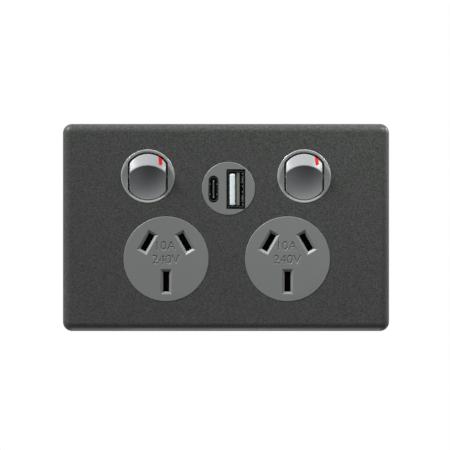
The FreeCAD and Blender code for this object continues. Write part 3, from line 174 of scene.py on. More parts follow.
class FinishColours(bpy.types.PropertyGroup):
    cover: colour("Cover", "Charcoal of the cover plate", (0.0237, 0.0252, 0.0237))
    fleck: colour("Fleck", "Metallic flecks in the cover plate", (0.087, 0.0908, 0.087))
    face: colour("Faces", "Grey of the socket and USB faces", (0.143, 0.148, 0.147))
    collar: colour("Collars", "Grey of the switch collars", (0.314, 0.321, 0.323))
    rocker: colour("Rockers", "Grey of the rockers", (0.264, 0.273, 0.28))
    stripe: colour("Stripe", "Red of the stripes", (0.47, 0.0071, 0.0071))
    housing: colour("Housing", "Grey of the rear housing", (0.32, 0.33, 0.33))


class StageSettings(bpy.types.PropertyGroup):
    lens: FloatProperty(name="Lens", description="Focal length in millimetres", default=300.0)
    view_width: length("View width", "Width of the picture at the plate's front", 165.2)
    view_x: length("View to the right", "Sideways place of the picture's middle", -0.37)
    view_z: length("View height", "Height of the picture's middle", 0.91)
    floor_drop: length("Floor drop", "How far the floor lies below the plate's middle", 2400.0)


# Finishes


class Finish:
    """A procedural finish under construction: its nodes, its shader and the object's own coordinates."""

    def __init__(self, name, colour, roughness, specular=0.5, metallic=0.0):
        self.material = bpy.data.materials.new(name)
        self.material.use_nodes = True
        self.tree = self.material.node_tree
        self.shader = self.tree.nodes["Principled BSDF"]
        self.shader.inputs["Base Color"].default_value = (*colour, 1)
        self.shader.inputs["Roughness"].default_value = roughness
        self.shader.inputs["Specular IOR Level"].default_value = specular
        self.shader.inputs["Metallic"].default_value = metallic
        self.place = self.node("ShaderNodeTexCoord").outputs["Object"]

    def node(self, kind, inputs=None, **settings):
        item = self.tree.nodes.new(kind)
        for key, value in settings.items():
            setattr(item, key, value)
        for key, value in (inputs or {}).items():
            if isinstance(value, bpy.types.NodeSocket):
                self.tree.links.new(value, item.inputs[key])
            else:
                item.inputs[key].default_value = value
        return item

    def feed(self, name, value):
        self.tree.links.new(value, self.shader.inputs[name])

    def noise(self, grain, detail=2.0, stretch=None):
        """Noise whose blotches are about one grain wide, drawn out along an axis by stretch."""
        place = self.place
        if stretch:
            place = self.node("ShaderNodeMapping", {"Vector": place, "Scale": stretch}).outputs["Vector"]
        inputs = {"Vector": place, "Scale": 1 / grain, "Detail": detail}
        return self.node("ShaderNodeTexNoise", inputs).outputs["Fac"]

    def cells(self, grain):
        """A random grey for each cell about one grain wide."""
        item = self.node("ShaderNodeTexVoronoi", {"Vector": self.place, "Scale": 1 / grain})
        return self.node("ShaderNodeSeparateColor", {"Color": item.outputs["Color"]}).outputs["Red"]

    def span(self, value, low, high, start=0.0, end=1.0):
        """The value taken from start..end to low..high, held at both ends."""
        inputs = {"Value": value, "From Min": start, "From Max": end, "To Min": low, "To Max": high}
        return self.node("ShaderNodeMapRange", inputs).outputs["Result"]

    def sum(self, *values):
        total = values[0]
        for value in values[1:]:
            total = self.node("ShaderNodeMath", {0: total, 1: value}, operation="ADD").outputs[0]
        return total

    def tones(self, factor, dark, light):
        """Colour between dark and light."""
        item = self.node("ShaderNodeMix", {"Factor": factor}, data_type="RGBA")
        colours = [socket for socket in item.inputs if socket.type == "RGBA"]
        colours[0].default_value = (*dark, 1)
        colours[1].default_value = (*light, 1)
        return next(socket for socket in item.outputs if socket.type == "RGBA")

    def relief(self, height, depth):
        item = self.node("ShaderNodeBump", {"Height": height, "Distance": depth, "Strength": 1.0})
        self.feed("Normal", item.outputs["Normal"])


def shade(colour, factor):
    return tuple(min(1.0, channel * factor) for channel in colour)


def moulded(name, colour, roughness, specular, grain, depth, spread):
    """Moulded plastic: a fine grain, a faint drift of tone from the mould and a little uneven gloss."""
    finish = Finish(name, colour, roughness, specular)
    fine = finish.noise(grain, 3.0)
    drift = finish.noise(DRIFT_SIZE)
    tone = finish.sum(finish.span(fine, -0.5, 0.5), drift)
    dark, light = shade(colour, 1 - spread), shade(colour, 1 + spread)
    finish.feed("Base Color", finish.tones(tone, dark, light))
    gloss = (roughness - GLOSS_DRIFT, roughness + GLOSS_DRIFT)
    finish.feed("Roughness", finish.span(drift, *gloss, 0.3, 0.7))
    finish.relief(fine, depth)
    return finish.material


def speckled_cover(name, colour, fleck):
    """Charcoal moulding with fine metallic flecks under a satin surface."""
    finish = Finish(name, colour, 0.44, 0.22)
    fine = finish.noise(0.3 * MM)
    drift = finish.noise(25 * MM)
    grains = finish.cells(0.24 * MM)
    flecks = finish.span(grains, 0.0, 0.8, 0.2, 1.0)
    blotches = finish.span(fine, -0.15, 0.25, 0.3, 0.7)
    finish.feed("Base Color", finish.tones(finish.sum(flecks, blotches), colour, fleck))
    finish.feed("Roughness", finish.span(finish.sum(drift, fine), 0.4, 0.5, 0.7, 1.3))
    finish.relief(finish.sum(fine, finish.span(grains, 0.0, 0.3)), 0.01 * MM)
    return finish.material


def rolled_metal(name, colour, roughness, stretch):
    """Sheet or wire metal: drawn scratches, faint stains and uneven gloss."""
    finish = Finish(name, colour, roughness, 0.5, 1.0)
    scratch = finish.noise(0.12 * MM, 3.0, stretch)
    stains = finish.noise(3 * MM, 3.0)
    dark, light = shade(colour, 1 - STAIN), shade(colour, 1 + STAIN)
    finish.feed("Base Color", finish.tones(stains, dark, light))
    gloss = (roughness - 0.08, roughness + 0.1)
    finish.feed("Roughness", finish.span(finish.sum(scratch, stains), *gloss, 0.6, 1.4))
    finish.relief(scratch, 0.004 * MM)
    return finish.material


def printed_board(name, colour):
    """Green lacquered board with a faint weave and copper tracks showing through."""
    finish = Finish(name, colour, 0.3)
    weave = finish.node("ShaderNodeTexWave", {"Vector": finish.place, "Scale": 900, "Distortion": 1.0})
    tracks = finish.node("ShaderNodeTexBrick", {"Vector": finish.place, "Scale": 300})
    light = tracks.outputs["Fac"]
    finish.feed("Base Color", finish.tones(light, colour, shade(colour, 2.2)))
    finish.relief(finish.sum(weave.outputs["Fac"], light), 0.01 * MM)
    return finish.material


def wound_tape(name, colour):
    """Yellow tape in overlapping turns, glossy, with wrinkles."""
    finish = Finish(name, colour, 0.28)
    turns = finish.node("ShaderNodeTexWave", {"Vector": finish.place, "Scale": 260, "Distortion": 0.6})
    wrinkles = finish.noise(0.8 * MM, 3.0)
    finish.feed("Base Color", finish.tones(turns.outputs["Fac"], shade(colour, 0.75), colour))
    finish.relief(finish.sum(turns.outputs["Fac"], wrinkles), 0.03 * MM)
    return finish.material


def sintered(name, colour):
    """Pressed and fired powder: dull, pitted and slightly mottled."""
    finish = Finish(name, colour, 0.6)
    pits = finish.noise(0.25 * MM, 4.0)
    finish.feed("Base Color", finish.tones(pits, shade(colour, 0.7), shade(colour, 1.4)))
    finish.relief(pits, 0.03 * MM)
    return finish.material


def all_finishes(colours):
    """Every finish by its name: those of the record's slots, and a few that stand in for one of them.
    A moulding has its colour, roughness, specular level, grain and grain's depth in millimetres, and
    the spread of its tone. A metal has its colour, roughness and the stretch of its scratches."""
    mouldings = {
        "face_grey": (colours.face, 0.5, 0.7, 0.35, 0.012, 0.06),
        "collar_grey": (colours.collar, 0.26, 0.7, 0.3, 0.004, 0.03),
        "rocker_grey": (colours.rocker, 0.3, 0.24, 0.3, 0.003, 0.02),
        "stripe_red": (colours.stripe, 0.45, 0.07, 0.3, 0.003, 0.03),
        "housing_grey": (colours.housing, 0.55, 0.4, 0.5, 0.02, 0.06),
        "plunger_white": ((0.8, 0.8, 0.74), 0.35, 0.5, 0.5, 0.004, 0.03),
        "tongue_white": ((0.71, 0.8, 0.807), 0.4, 0.5, 0.4, 0.004, 0.03),
        "tongue_black": ((0.034, 0.04, 0.0415), 0.5, 0.5, 0.3, 0.004, 0.1),
        "can_black": ((0.02, 0.02, 0.03), 0.3, 0.5, 0.8, 0.01, 0.1),
    }
    metals = {
        "spring_steel": ((0.5, 0.5, 0.49), 0.3, (1, 6, 1)),
        "brass": ((0.6, 0.414, 0.17), 0.45, (1, 1, 8)),
        "zinc_steel": ((0.62, 0.63, 0.65), 0.3, (1, 1, 1)),
        # brass darkened to near black: painted shade for the contacts deep in the slots and the port
        "dull_brass": ((0.071, 0.051, 0.026), 0.6, (1, 1, 8)),
        # steel darkened to near black so the ports' insides read dark: painted shade, where real steel
        # would be bright
        "port_steel": ((0.043, 0.0486, 0.047), 0.5, (1, 6, 1)),
        "spring_tin": ((0.34, 0.336, 0.27), 0.4, (1, 1, 4)),
        "port_shield": ((0.23, 0.246, 0.217), 0.5, (1, 1, 4)),
        "blade_steel": ((0.143, 0.164, 0.167), 0.45, (1, 1, 4)),
        "gold_plate": ((0.71, 0.54, 0.286), 0.35, (1, 4, 1)),
    }
    others = {
        "board_green": (printed_board, (0.02, 0.12, 0.05)),
        "ferrite": (sintered, (0.04, 0.04, 0.045)),
        "winding_tape": (wound_tape, (0.75, 0.5, 0.04)),
    }
    cover = speckled_cover(finish_name("cover_charcoal"), colours.cover, colours.fleck)
    finishes = {"cover_charcoal": cover}
    for slot, (colour, roughness, specular, grain, depth, spread) in mouldings.items():
        settings = (colour, roughness, specular, grain * MM, depth * MM, spread)
        finishes[slot] = moulded(finish_name(slot), *settings)
    for slot, settings in metals.items():
        finishes[slot] = rolled_metal(finish_name(slot), *settings)
    for slot, (make, colour) in others.items():
        finishes[slot] = make(finish_name(slot), colour)
    return finishes


def finish_name(slot):
    return slot + "_finish"


def finish_of(slot):
    return bpy.data.materials[finish_name(slot)]


# Surfaces


def grid_faces(rows, columns, wrap=True):
    """Four-sided faces between the neighbouring points of a grid, row after row."""
    start = np.arange(rows * columns).reshape(rows, columns)
    if wrap:
        start = np.concatenate([start, start[:, :1]], axis=1)
    corners = (start[:-1, :-1], start[:-1, 1:], start[1:, 1:], start[1:, :-1])
    return np.stack([corner.ravel() for corner in corners], axis=1)


def sheet(points, wrap=True):
    """Points in rows and columns with the faces between them."""
    rows, columns = points.shape[:2]
    return points.reshape(-1, 3), grid_faces(rows, columns, wrap)


def turned(profile, middle, along, across, sides=48):
    """A profile of (radius, distance) carried round an axis: middle + distance * along + radius * ring."""
    angle = np.linspace(0, 2 * np.pi, sides, endpoint=False)
    third = np.cross(along, across)
    ring = np.cos(angle)[:, None] * np.asarray(across) + np.sin(angle)[:, None] * third
    radius, distance = np.asarray(profile).T
    points = np.asarray(middle) + distance[:, None, None] * np.asarray(along) + radius[:, None, None] * ring
    return sheet(points)


def piece_of(name, parts, slot, body, sharp=35, finish=None):
    """One mesh from several point-and-face sheets: merged, turned outward, smooth but for sharp edges."""
    counts = np.cumsum([0] + [len(points) for points, _ in parts])
    mesh = bpy.data.meshes.new(name)
    points = np.concatenate([points for points, _ in parts])
    faces = np.concatenate([faces + count for (_, faces), count in zip(parts, counts)])
    mesh.from_pydata(points, [], faces)
    return dress(name, mesh, slot, body, sharp, finish)


def dress(name, mesh, slot, body, sharp, finish=None):
    """An object of the mesh: merged, turned outward, smooth but for sharp edges, and riding on its body."""
    if "custom_normal" in mesh.attributes:
        mesh.attributes.remove(mesh.attributes["custom_normal"])
    work = bmesh.new()
    work.from_mesh(mesh)
    bmesh.ops.remove_doubles(work, verts=work.verts, dist=MERGE_GAP)
    bmesh.ops.dissolve_degenerate(work, edges=work.edges, dist=MERGE_GAP)
    bmesh.ops.recalc_face_normals(work, faces=work.faces)
    work.to_mesh(mesh)
    work.free()
    mesh.polygons.foreach_set("use_smooth", np.ones(len(mesh.polygons), dtype=bool))
    mesh.set_sharp_from_angle(angle=math.radians(sharp))
    mesh.materials.clear()
    mesh.materials.append(finish_of(finish or slot))
    item = bpy.data.objects.new(name, mesh)
    bpy.context.scene.collection.objects.link(item)
    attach(item, body)
    return item


def soft_least(a, b, width):
    """The lesser of two values, blended where they differ by less than width."""
    return 0.5 * (a + b - np.sqrt((a - b) ** 2 + width**2))


class RockerForm:
    """The rocker's front: height in front of the pivot at (x, z), and the outline round it."""

    def __init__(self, sizes, side):
        self.sizes = sizes
        self.middle = np.array((side * sizes.spacing / 2, FACE_FRONT_Y + sizes.pivot_depth, sizes.height))

    def reach(self, angle):
        """Distance from the scoop's centre line to the outline: the lesser of the way to the round
        end, |centre + reach * direction| = radius, and to the flat side, width / 2 / |cos angle|."""
        sizes = self.sizes
        radius = sizes.rocker_diameter / 2
        drop = sizes.scoop_drop
        along = -drop * np.sin(angle)
        to_round = -along + np.sqrt(along**2 - drop**2 + radius**2)
        to_flat = sizes.rocker_width / 2 / np.maximum(np.abs(np.cos(angle)), NEARLY_ZERO)
        return soft_least(to_round, to_flat, CORNER_BLEND)

    def height(self, x, z):
        """The lesser of a cone outside the crest, crest - (r - radius) * tan(slope), and a ball
        inside it, centre - sqrt(ball radius^2 - r^2), less a quarter round at the rim."""
        sizes = self.sizes
        rise = z + sizes.scoop_drop
        r = np.hypot(x, rise)
        reach = self.reach(np.arctan2(rise, x))
        brow = sizes.crest_height - (r - sizes.crest_radius) * math.tan(sizes.brow_slope)
        ball = sizes.scoop_radius
        centre = sizes.crest_height + math.sqrt(ball**2 - sizes.crest_radius**2)
        scoop = centre - np.sqrt(np.maximum(ball**2 - r**2, 0))
        near_rim = np.clip((r - (reach - sizes.rim_round)) / sizes.rim_round, 0, 1)
        fall = sizes.rim_round * (1 - np.sqrt(1 - near_rim**2))
        return soft_least(brow, scoop, sizes.crest_softness) - fall

    def placed(self, x, front, z):
        """Points about the pivot, tilted to ON and put in their place."""
        tilt = self.sizes.rest_tilt
        y = -front
        turned_y = y * math.cos(tilt) - z * math.sin(tilt)
        turned_z = y * math.sin(tilt) + z * math.cos(tilt)
        return np.stack(np.broadcast_arrays(x, turned_y, turned_z), axis=-1) + self.middle


def rocker_shell(form, sides=288):
    """Rings round the scoop's centre line: over the crest to the rim, down the skirt and up inside.
    The crest lies at a share of the way to the outline, held at farthest_crest, and the rings crowd
    towards it: 1 - (1 - v)^scoop_crowding inside it and v^brow_crowding outside it."""
    sizes = form.sizes
    scoop_rings, brow_rings, rim_rings = 44, 30, 9
    scoop_crowding, brow_crowding = 1.6, 1.3
    farthest_crest = 0.93
    angle = np.linspace(0, 2 * np.pi, sides, endpoint=False)
    reach = form.reach(angle)
    crest = np.minimum(sizes.crest_radius / reach, farthest_crest)
    inner = 1 - (1 - np.linspace(0, 1, scoop_rings)) ** scoop_crowding
    outer = np.linspace(0, 1, brow_rings)[1:] ** brow_crowding
    share = np.concatenate([inner[:, None] * crest, crest + outer[:, None] * (1 - crest)])
    lean = np.sin(np.linspace(0, np.pi / 2, rim_rings))
    share = share * (1 - sizes.rim_round / reach)
    rim = 1 - (1 - lean[1:, None]) * sizes.rim_round / reach
    r = np.concatenate([share, rim]) * reach
    x, z = r * np.cos(angle), r * np.sin(angle) - sizes.scoop_drop
    front = form.height(x, z)
    edge = front[-1]
    inside = reach - sizes.wall
    ceiling = sizes.crest_height + math.sqrt(sizes.scoop_radius**2 - sizes.crest_radius**2)
    ceiling -= sizes.scoop_radius + sizes.wall
    walls = (
        (reach, edge * 0.5),
        (reach, -sizes.skirt),
        (inside, -sizes.skirt),
        (inside, ceiling),
        (0, ceiling),
    )
    for radius, low in walls:
        radius = np.broadcast_to(radius, reach.shape)
        x = np.concatenate([x, [radius * np.cos(angle)]])
        z = np.concatenate([z, [radius * np.sin(angle) - sizes.scoop_drop]])
        front = np.concatenate([front, [np.broadcast_to(low, reach.shape)]])
    return sheet(form.placed(x, front, z))


def rocker_fittings(form):
    """The two pins, each with a chamfered end, and the hollow boss, as profiles turned about their
    axes."""
    sizes = form.sizes
    tilt = sizes.rest_tilt
    radius, chamfer = sizes.pin_diameter / 2, 0.2 * MM
    start, end = sizes.rocker_width / 2 - sizes.wall, sizes.pin_reach
    pin = [(0, start), (radius, start), (radius, end - chamfer), (radius - chamfer, end), (0, end)]
    back = (0, math.cos(tilt), math.sin(tilt))
    outer, bore, reach = sizes.boss_diameter / 2, sizes.boss_bore / 2, sizes.boss_reach
    root, floor = -0.8 * MM, -0.3 * MM
    boss = [(0, root), (outer, root), (outer, reach), (bore, reach), (bore, floor), (0, floor)]
    parts = [turned(pin, form.middle, (way, 0, 0), (0, 1, 0), sides=32) for way in (-1, 1)]
    return parts + [turned(boss, form.middle, back, (1, 0, 0))]


def stripe_surface(form):
    """A bar with a round lower end that follows the brow: x = side + across * half width, with the
    half width closing as a quarter circle at the lower end, leaned over and cut off at the rim. It
    stands a little proud of the brow, and its edges reach down into the rocker."""
    sizes = form.sizes
    rim_overlap, proud, depth = 0.01 * MM, 0.03 * MM, 0.6 * MM
    rows, columns = 90, 25
    half = sizes.stripe_width / 2
    across = np.concatenate([[-1], np.linspace(-1, 1, columns), [1]])
    along = np.concatenate([[0], np.linspace(0, 1, rows), [1]])
    top = sizes.rocker_diameter / 2 - sizes.stripe_start
    way = along[:, None] * top
    closing = np.clip(1 - way / half, 0, 1)
    width = half * np.sqrt(np.maximum(1 - closing**2, 1e-4))
    x, z = across * width, way + 0 * across
    cos, sin = math.cos(sizes.stripe_lean), math.sin(sizes.stripe_lean)
    x, z = x * cos - (z - top) * sin, x * sin + (z - top) * cos
    x, z = x + sizes.stripe_side, z + sizes.stripe_start + top
    rise = z + sizes.scoop_drop
    r = np.hypot(x, rise)
    angle = np.arctan2(rise, x)
    held = np.minimum(r, form.reach(angle) + rim_overlap)
    x, z = held * np.cos(angle), held * np.sin(angle) - sizes.scoop_drop
    front = form.height(x, z) + proud
    sunk = np.ones_like(front, dtype=bool)
    sunk[1:-1, 1:-1] = False
    front = np.where(sunk, front - depth, front)
    return sheet(form.placed(x, front, z), wrap=False)


def leaf(start, end, wide, thick, bow=(0, 0, 0), steps=32, sides=24):
    """A leaf spring or bar: a rounded-rectangle section, sign(cos a) * |cos a|^squareness across wide
    and the same of sin a across thick, carried straight from start to end, pushed out by
    bow * sin(pi * v) and drawn in by a quarter circle over an end's share of the way. All in
    millimetres."""
    squareness, end_share = 0.4, 0.05
    vectors = np.array((start, end, wide, thick, bow), dtype=float) * MM
    start, end, wide, thick, bow = vectors
    v = np.linspace(0, 1, steps)[:, None]
    near = np.clip(np.minimum(v, 1 - v) / end_share, 0, 1)
    drawn = np.sqrt(1 - (1 - near) ** 2)
    middle = start + v * (end - start) + np.sin(np.pi * v) * bow
    angle = np.linspace(0, 2 * np.pi, sides, endpoint=False)[:, None]
    across, through = (
        np.sign(value) * np.abs(value) ** squareness for value in (np.cos(angle), np.sin(angle))
    )
    ring = (across * wide + through * thick) / 2
    return sheet(middle[:, None] + drawn[:, :, None] * ring)


# Operators


class WALLSOCKET_OT_rockers(bpy.types.Operator):
    """Rockers with a soft crest, brow, scoop and rim, and the red stripe let into each"""

    bl_idname = "wallsocket.rockers"
    bl_label = "Rockers"

    def execute(self, context):
        sizes = context.scene.wall_socket_switches
        for name, side in SIDES:
            form = RockerForm(sizes, side)
            body = f"{name}_rocker"
            parts = [rocker_shell(form), *rocker_fittings(form)]
            rocker = piece_of(f"rocker_moulding_{name}", parts, "rocker_grey", body)
            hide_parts(f"rocker_{name}")
            bar = [stripe_surface(form)]
            stripe = piece_of(f"stripe_inlay_{name}", bar, "stripe_red", body, sharp=50)
            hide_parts(f"rocker_stripe_{name}")
        return {"FINISHED"}


def figure_cutter(text, height, width, place, depth):
    """The figures as a solid that narrows with depth, standing in the face at its place. Its section
    is drawn in by an inset before the bevel widens it, and both are shares of the depth."""
    inset, half_core = 0.45 * depth, 0.01 * depth
    line = bpy.data.curves.new(text, "FONT")
    line.body = text
    line.align_x, line.align_y = "CENTER", "CENTER"
    line.resolution_u = 6
    line.size = 1.0
    shape = bpy.data.objects.new(text, line)
    outline = bpy.data.meshes.new_from_object(shape)
    points = np.array([vertex.co for vertex in outline.vertices])
    low, high = points.min(axis=0), points.max(axis=0)
    size = (high - low)[:2]
    line.size = height / size[1]
    stretch = width / (size[0] * line.size)
    line.offset = -inset
    line.extrude = half_core
    line.bevel_depth = depth
    line.bevel_resolution = 0
    mesh = bpy.data.meshes.new_from_object(shape)
    middle = (low + high) / 2 * line.size
    bpy.data.objects.remove(shape)
    centred = Matrix.Translation((-middle[0], -middle[1], 0))
    upright = Matrix.Translation(place) @ Matrix.Rotation(math.pi / 2, 4, "X")
    mesh.transform(upright @ Matrix.Diagonal((stretch, 1, 1, 1)) @ centred)
    cutter = bpy.data.objects.new(text + "_cutter", mesh)
    bpy.context.scene.collection.objects.link(cutter)
    return cutter


def eased_bevels(mesh, middle, sizes):
    """Redraw the bevel round each slot. The four corners of its outer edge go to the bevel's width from
    the slot's wall, and the four of its inner edge to the bevel's start from the wall, at its depth."""
    points = np.empty(len(mesh.vertices) * 3, dtype=np.float32)
    mesh.vertices.foreach_get("co", points)
    points = points.reshape(-1, 3).astype(float)
    near = 0.05 * MM
    depth = points[:, 1] - FACE_FRONT_Y
    slots = (
        (-sizes.slot_side, sizes.slot_rise, -sizes.slot_tilt, sizes.slot_length),
        (sizes.slot_side, sizes.slot_rise, sizes.slot_tilt, sizes.slot_length),
        (0, -sizes.earth_drop, 0, sizes.earth_length),
    )
    moved = 0
    for x, z, tilt, length in slots:
        turn = np.array(((math.cos(tilt), math.sin(tilt)), (-math.sin(tilt), math.cos(tilt))))
        spot = (points[:, ::2] - (middle.x + x, middle.z + z)) @ turn.T
        half = np.array((sizes.slot_width, length)) / 2
        inside = (np.abs(spot) < half + sizes.solid_bevel + near).all(axis=1)
        outer = inside & (np.abs(depth) < near)
        inner = inside & (np.abs(depth - sizes.solid_bevel) < near)
        spot[outer] = np.sign(spot[outer]) * (half + sizes.bevel_width)
        points[outer, ::2] = spot[outer] @ turn + (middle.x + x, middle.z + z)
        spot[inner] = np.sign(spot[inner]) * (half + sizes.bevel_start)
        points[inner, ::2] = spot[inner] @ turn + (middle.x + x, middle.z + z)
        points[inner, 1] = FACE_FRONT_Y + sizes.bevel_depth
        moved += outer.sum() + inner.sum()
    if moved != 8 * len(slots):
        raise RuntimeError(f"{moved} corners of bevels were found")
    mesh.vertices.foreach_set("co", points.astype(np.float32).ravel())
    mesh.update()


def bake(item):
    """Put the result of the piece's modifiers into its mesh."""
    mesh = bpy.data.meshes.new_from_object(item.evaluated_get(bpy.context.evaluated_depsgraph_get()))
    item.modifiers.clear()
    item.data = mesh


def engrave(item, cutters):
    """Cut the figures out of a face and even out the shading round them."""
    plain = len(item.data.vertices)
    for cutter in cutters:
        cut = item.modifiers.new(cutter.name, "BOOLEAN")
        cut.operation = "DIFFERENCE"
        cut.solver = "EXACT"
        cut.use_self = True
        cut.object = cutter
    bake(item)
    if len(item.data.vertices) < plain + FEWEST_NEW_CORNERS:
        raise RuntimeError(f"the figures did not cut {item.name}")
    for cutter in cutters:
        bpy.data.objects.remove(cutter)
    item.data.set_sharp_from_angle(angle=math.radians(FACE_SHARP))
    even = item.modifiers.new("even", "WEIGHTED_NORMAL")
    even.keep_sharp = True
    even.weight = 100
    bake(item)


class WALLSOCKET_OT_figures(bpy.types.Operator):
    """Both socket faces with their rating engraved"""

    bl_idname = "wallsocket.figures"
    bl_label = "Figures"

    def execute(self, context):
        sizes = context.scene.wall_socket_figures
        lines = (
            ("10A", sizes.current_width, sizes.current_rise),
            ("240V", sizes.voltage_width, -sizes.voltage_drop),
        )
        for name, _ in SIDES:
            node = f"socket_face_{name}"
            low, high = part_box(node)
            middle = (low + high) / 2
            mesh = frame["nodes"][node].data.copy()
            item = dress(f"engraved_face_{name}", mesh, "face_grey", "socket_frame", FACE_SHARP)
            eased_bevels(mesh, middle, context.scene.wall_socket_faces)
            cutters = []
            for text, width, rise in lines:
                place = Vector((middle.x, FACE_FRONT_Y, middle.z + rise))
                cutters.append(figure_cutter(text, sizes.height, width, place, sizes.depth))
            engrave(item, cutters)
            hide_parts(node)
        return {"FINISHED"}


def box_in_mm(node):
    """The low and the high corner of a solid's box."""
    return (np.array(corner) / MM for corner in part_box(node))


def upright_bar(x, y, low, high, wide, thick):
    """A bar that stands at (x, y) from low to high."""
    return leaf((x, y, low), (x, y, high), (wide, 0, 0), (0, thick, 0))


def port_a_springs(low, high):
    """Two bowed leaves along the right wall of port A, and a short hook on either side of each."""
    wall_gap, hook_gap = 0.32, 0.1
    leaf_inset, outer_inset, inner_inset = 3.2, 1.0, 5.6
    leaf_ends, hook_ends = (0.5, 6.0), (0.25, 1.1)
    front, wall = low[1], high[0] - wall_gap
    hook = wall - hook_gap
    parts = []
    for z in (low[2] + leaf_inset, high[2] - leaf_inset):
        start, end = ((wall, front + way, z) for way in leaf_ends)
        parts.append(leaf(start, end, wide=(0, 0, 2.6), thick=(0.16, 0, 0), bow=(-0.75, 0, 0)))
    for inset in (outer_inset, inner_inset):
        for z in (low[2] + inset, high[2] - inset):
            start, end = ((hook, front + way, z) for way in hook_ends)
            parts.append(leaf(start, end, wide=(0, 0, 0.45), thick=(0.3, 0, 0)))
    return parts


def port_a_nose(low, high):
    """The rounded front end of port A's tongue, from just behind the faces into the tongue."""
    set_back, overlap = 0.25, 0.4
    below, above = 0.5, 0.1
    front, back = FACE_FRONT_Y / MM + set_back, low[1] + overlap
    x, y = (low[0] + high[0]) / 2, (front + back) / 2
    return upright_bar(x, y, low[2] - below, high[2] + above, high[0] - low[0], back - front)


def port_a_shield(low, high, tongue):
    """A flat plate between the tongue and the springs, with a stiffening rib along its left edge."""
    end_inset = 0.2
    front, ends = low[1], (low[2] + end_inset, high[2] - end_inset)
    flat = upright_bar(tongue + 1.1, front + 2.4, *ends, wide=1.1, thick=0.2)
    rib = upright_bar(tongue + 0.55, front + 2.2, *ends, wide=0.2, thick=0.4)
    return [flat, rib]


def port_c_blade(low, high):
    """The metal edge of port C's tongue, and the bright catch at either end of it."""
    x, front = (low[0] + high[0]) / 2, low[1]
    edge_inset, edge_proud = 0.2, 0.05
    catch_inset, catch_half, catch_proud = 0.5, 0.35, 0.12
    ends = (low[2] + edge_inset, high[2] - edge_inset)
    edge = upright_bar(x, front - edge_proud, *ends, wide=0.3, thick=0.2)
    catches = []
    for z in (low[2] + catch_inset, high[2] - catch_inset):
        ends = (z - catch_half, z + catch_half)
        catches.append(upright_bar(x, front - catch_proud, *ends, wide=0.34, thick=0.3))
    return edge, catches


def port_c_latches(low, high):
    """Two small gold springs in either wall of port C, which lean inwards."""
    wall_gap, rise, lean = 0.3, 1.9, 0.35
    near, far = low[1] + 0.15, low[1] + 2.0
    middle = (low[2] + high[2]) / 2
    parts = []
    for side, wall in ((1, low[0] + wall_gap), (-1, high[0] - wall_gap)):
        for z in (middle - rise, middle + rise):
            start, end = (wall, near, z), (wall + side * lean, far, z)
            parts.append(leaf(start, end, wide=(0, 0, 0.5), thick=(0.14, 0, 0)))
    return parts


class WALLSOCKET_OT_ports(bpy.types.Operator):
    """Spring leaves, shield plate and tongue trim inside the two ports"""

    bl_idname = "wallsocket.ports"
    bl_label = "Ports"

    def execute(self, context):
        shell_low, shell_high = box_in_mm("usb_a_shell")
        tongue_low, tongue_high = box_in_mm("usb_a_tongue")
        edge, catches = port_c_blade(*box_in_mm("usb_c_tongue"))
        fixed = "socket_frame"
        springs = port_a_springs(shell_low, shell_high)
        piece_of("port_a_leaves", springs, "port_steel", fixed, finish="spring_tin")
        nose = [port_a_nose(tongue_low, tongue_high)]
        piece_of("port_a_tongue_nose", nose, "tongue_white", fixed)
        plate = port_a_shield(shell_low, shell_high, tongue_high[0])
        piece_of("port_a_shield", plate, "port_steel", fixed, finish="port_shield")
        piece_of("port_c_blade", [edge], "port_steel", fixed, finish="blade_steel")
        piece_of("port_c_blade_ends", catches, "port_steel", fixed, finish="spring_tin")
        latches = port_c_latches(*box_in_mm("usb_c_shell"))
        piece_of("port_c_latches", latches, "gold_plate", fixed)
        return {"FINISHED"}


class WALLSOCKET_OT_finishes(bpy.types.Operator):
    """Give every solid of the frame the finish of its material slot, but the contacts deep in the slots and
    the port a darkened brass as painted shade
    """

    bl_idname = "wallsocket.finishes"
    bl_label = "Finishes"

    def execute(self, context):
        finishes = all_finishes(context.scene.wall_socket_colours)
        slots = {row["node"]: row["material_slot"] for row in frame["record"]["subparts"]}
        # the contacts deep in the slots and the port take the darkened brass, which is painted shade
        slots.update({name: "dull_brass" for name in slots if name.startswith(CONTACTS_IN_PAINTED_SHADE)})
        for name, item in frame["nodes"].items():
            for index in range(len(item.material_slots)):
                item.material_slots[index].material = finishes[slots[name]]
        return {"FINISHED"}


class WALLSOCKET_OT_stage(bpy.types.Operator):
    """Floor, lamps, pale surroundings and the camera in front of the plate"""

    bl_idname = "wallsocket.stage"
    bl_label = "Stage"

    def execute(self, context):
        settings = context.scene.wall_socket_stage
        floor = pale_floor(settings.floor_drop)
        surroundings(context.scene)
        for name, (place, size, power) in LAMPS.items():
            lamp(name, place, size, power)
        data = bpy.data.cameras.new("camera")
        data.lens = settings.lens
        data.clip_start, data.clip_end = 0.1, 50
        camera = bpy.data.objects.new("camera", data)
        context.scene.collection.objects.link(camera)
        distance = settings.view_width * data.lens / data.sensor_width
        camera.location = (settings.view_x, PLATE_FRONT_Y - distance, settings.view_z)
        camera.rotation_euler = (math.pi / 2, 0, 0)
        context.scene.camera = camera
        context.scene.view_settings.view_transform = "Standard"
        return {"FINISHED"}


def seen_directly(tree):
    """1 for rays from the camera and for those that mirrors and glass send on, else 0."""
    path = tree.nodes.new("ShaderNodeLightPath")
    total = path.outputs["Is Camera Ray"]
    for name in ("Is Glossy Ray", "Is Transmission Ray"):
        item = tree.nodes.new("ShaderNodeMath")
        item.operation = "MAXIMUM"
        tree.links.new(total, item.inputs[0])
        tree.links.new(path.outputs[name], item.inputs[1])
        total = item.outputs[0]
    return total


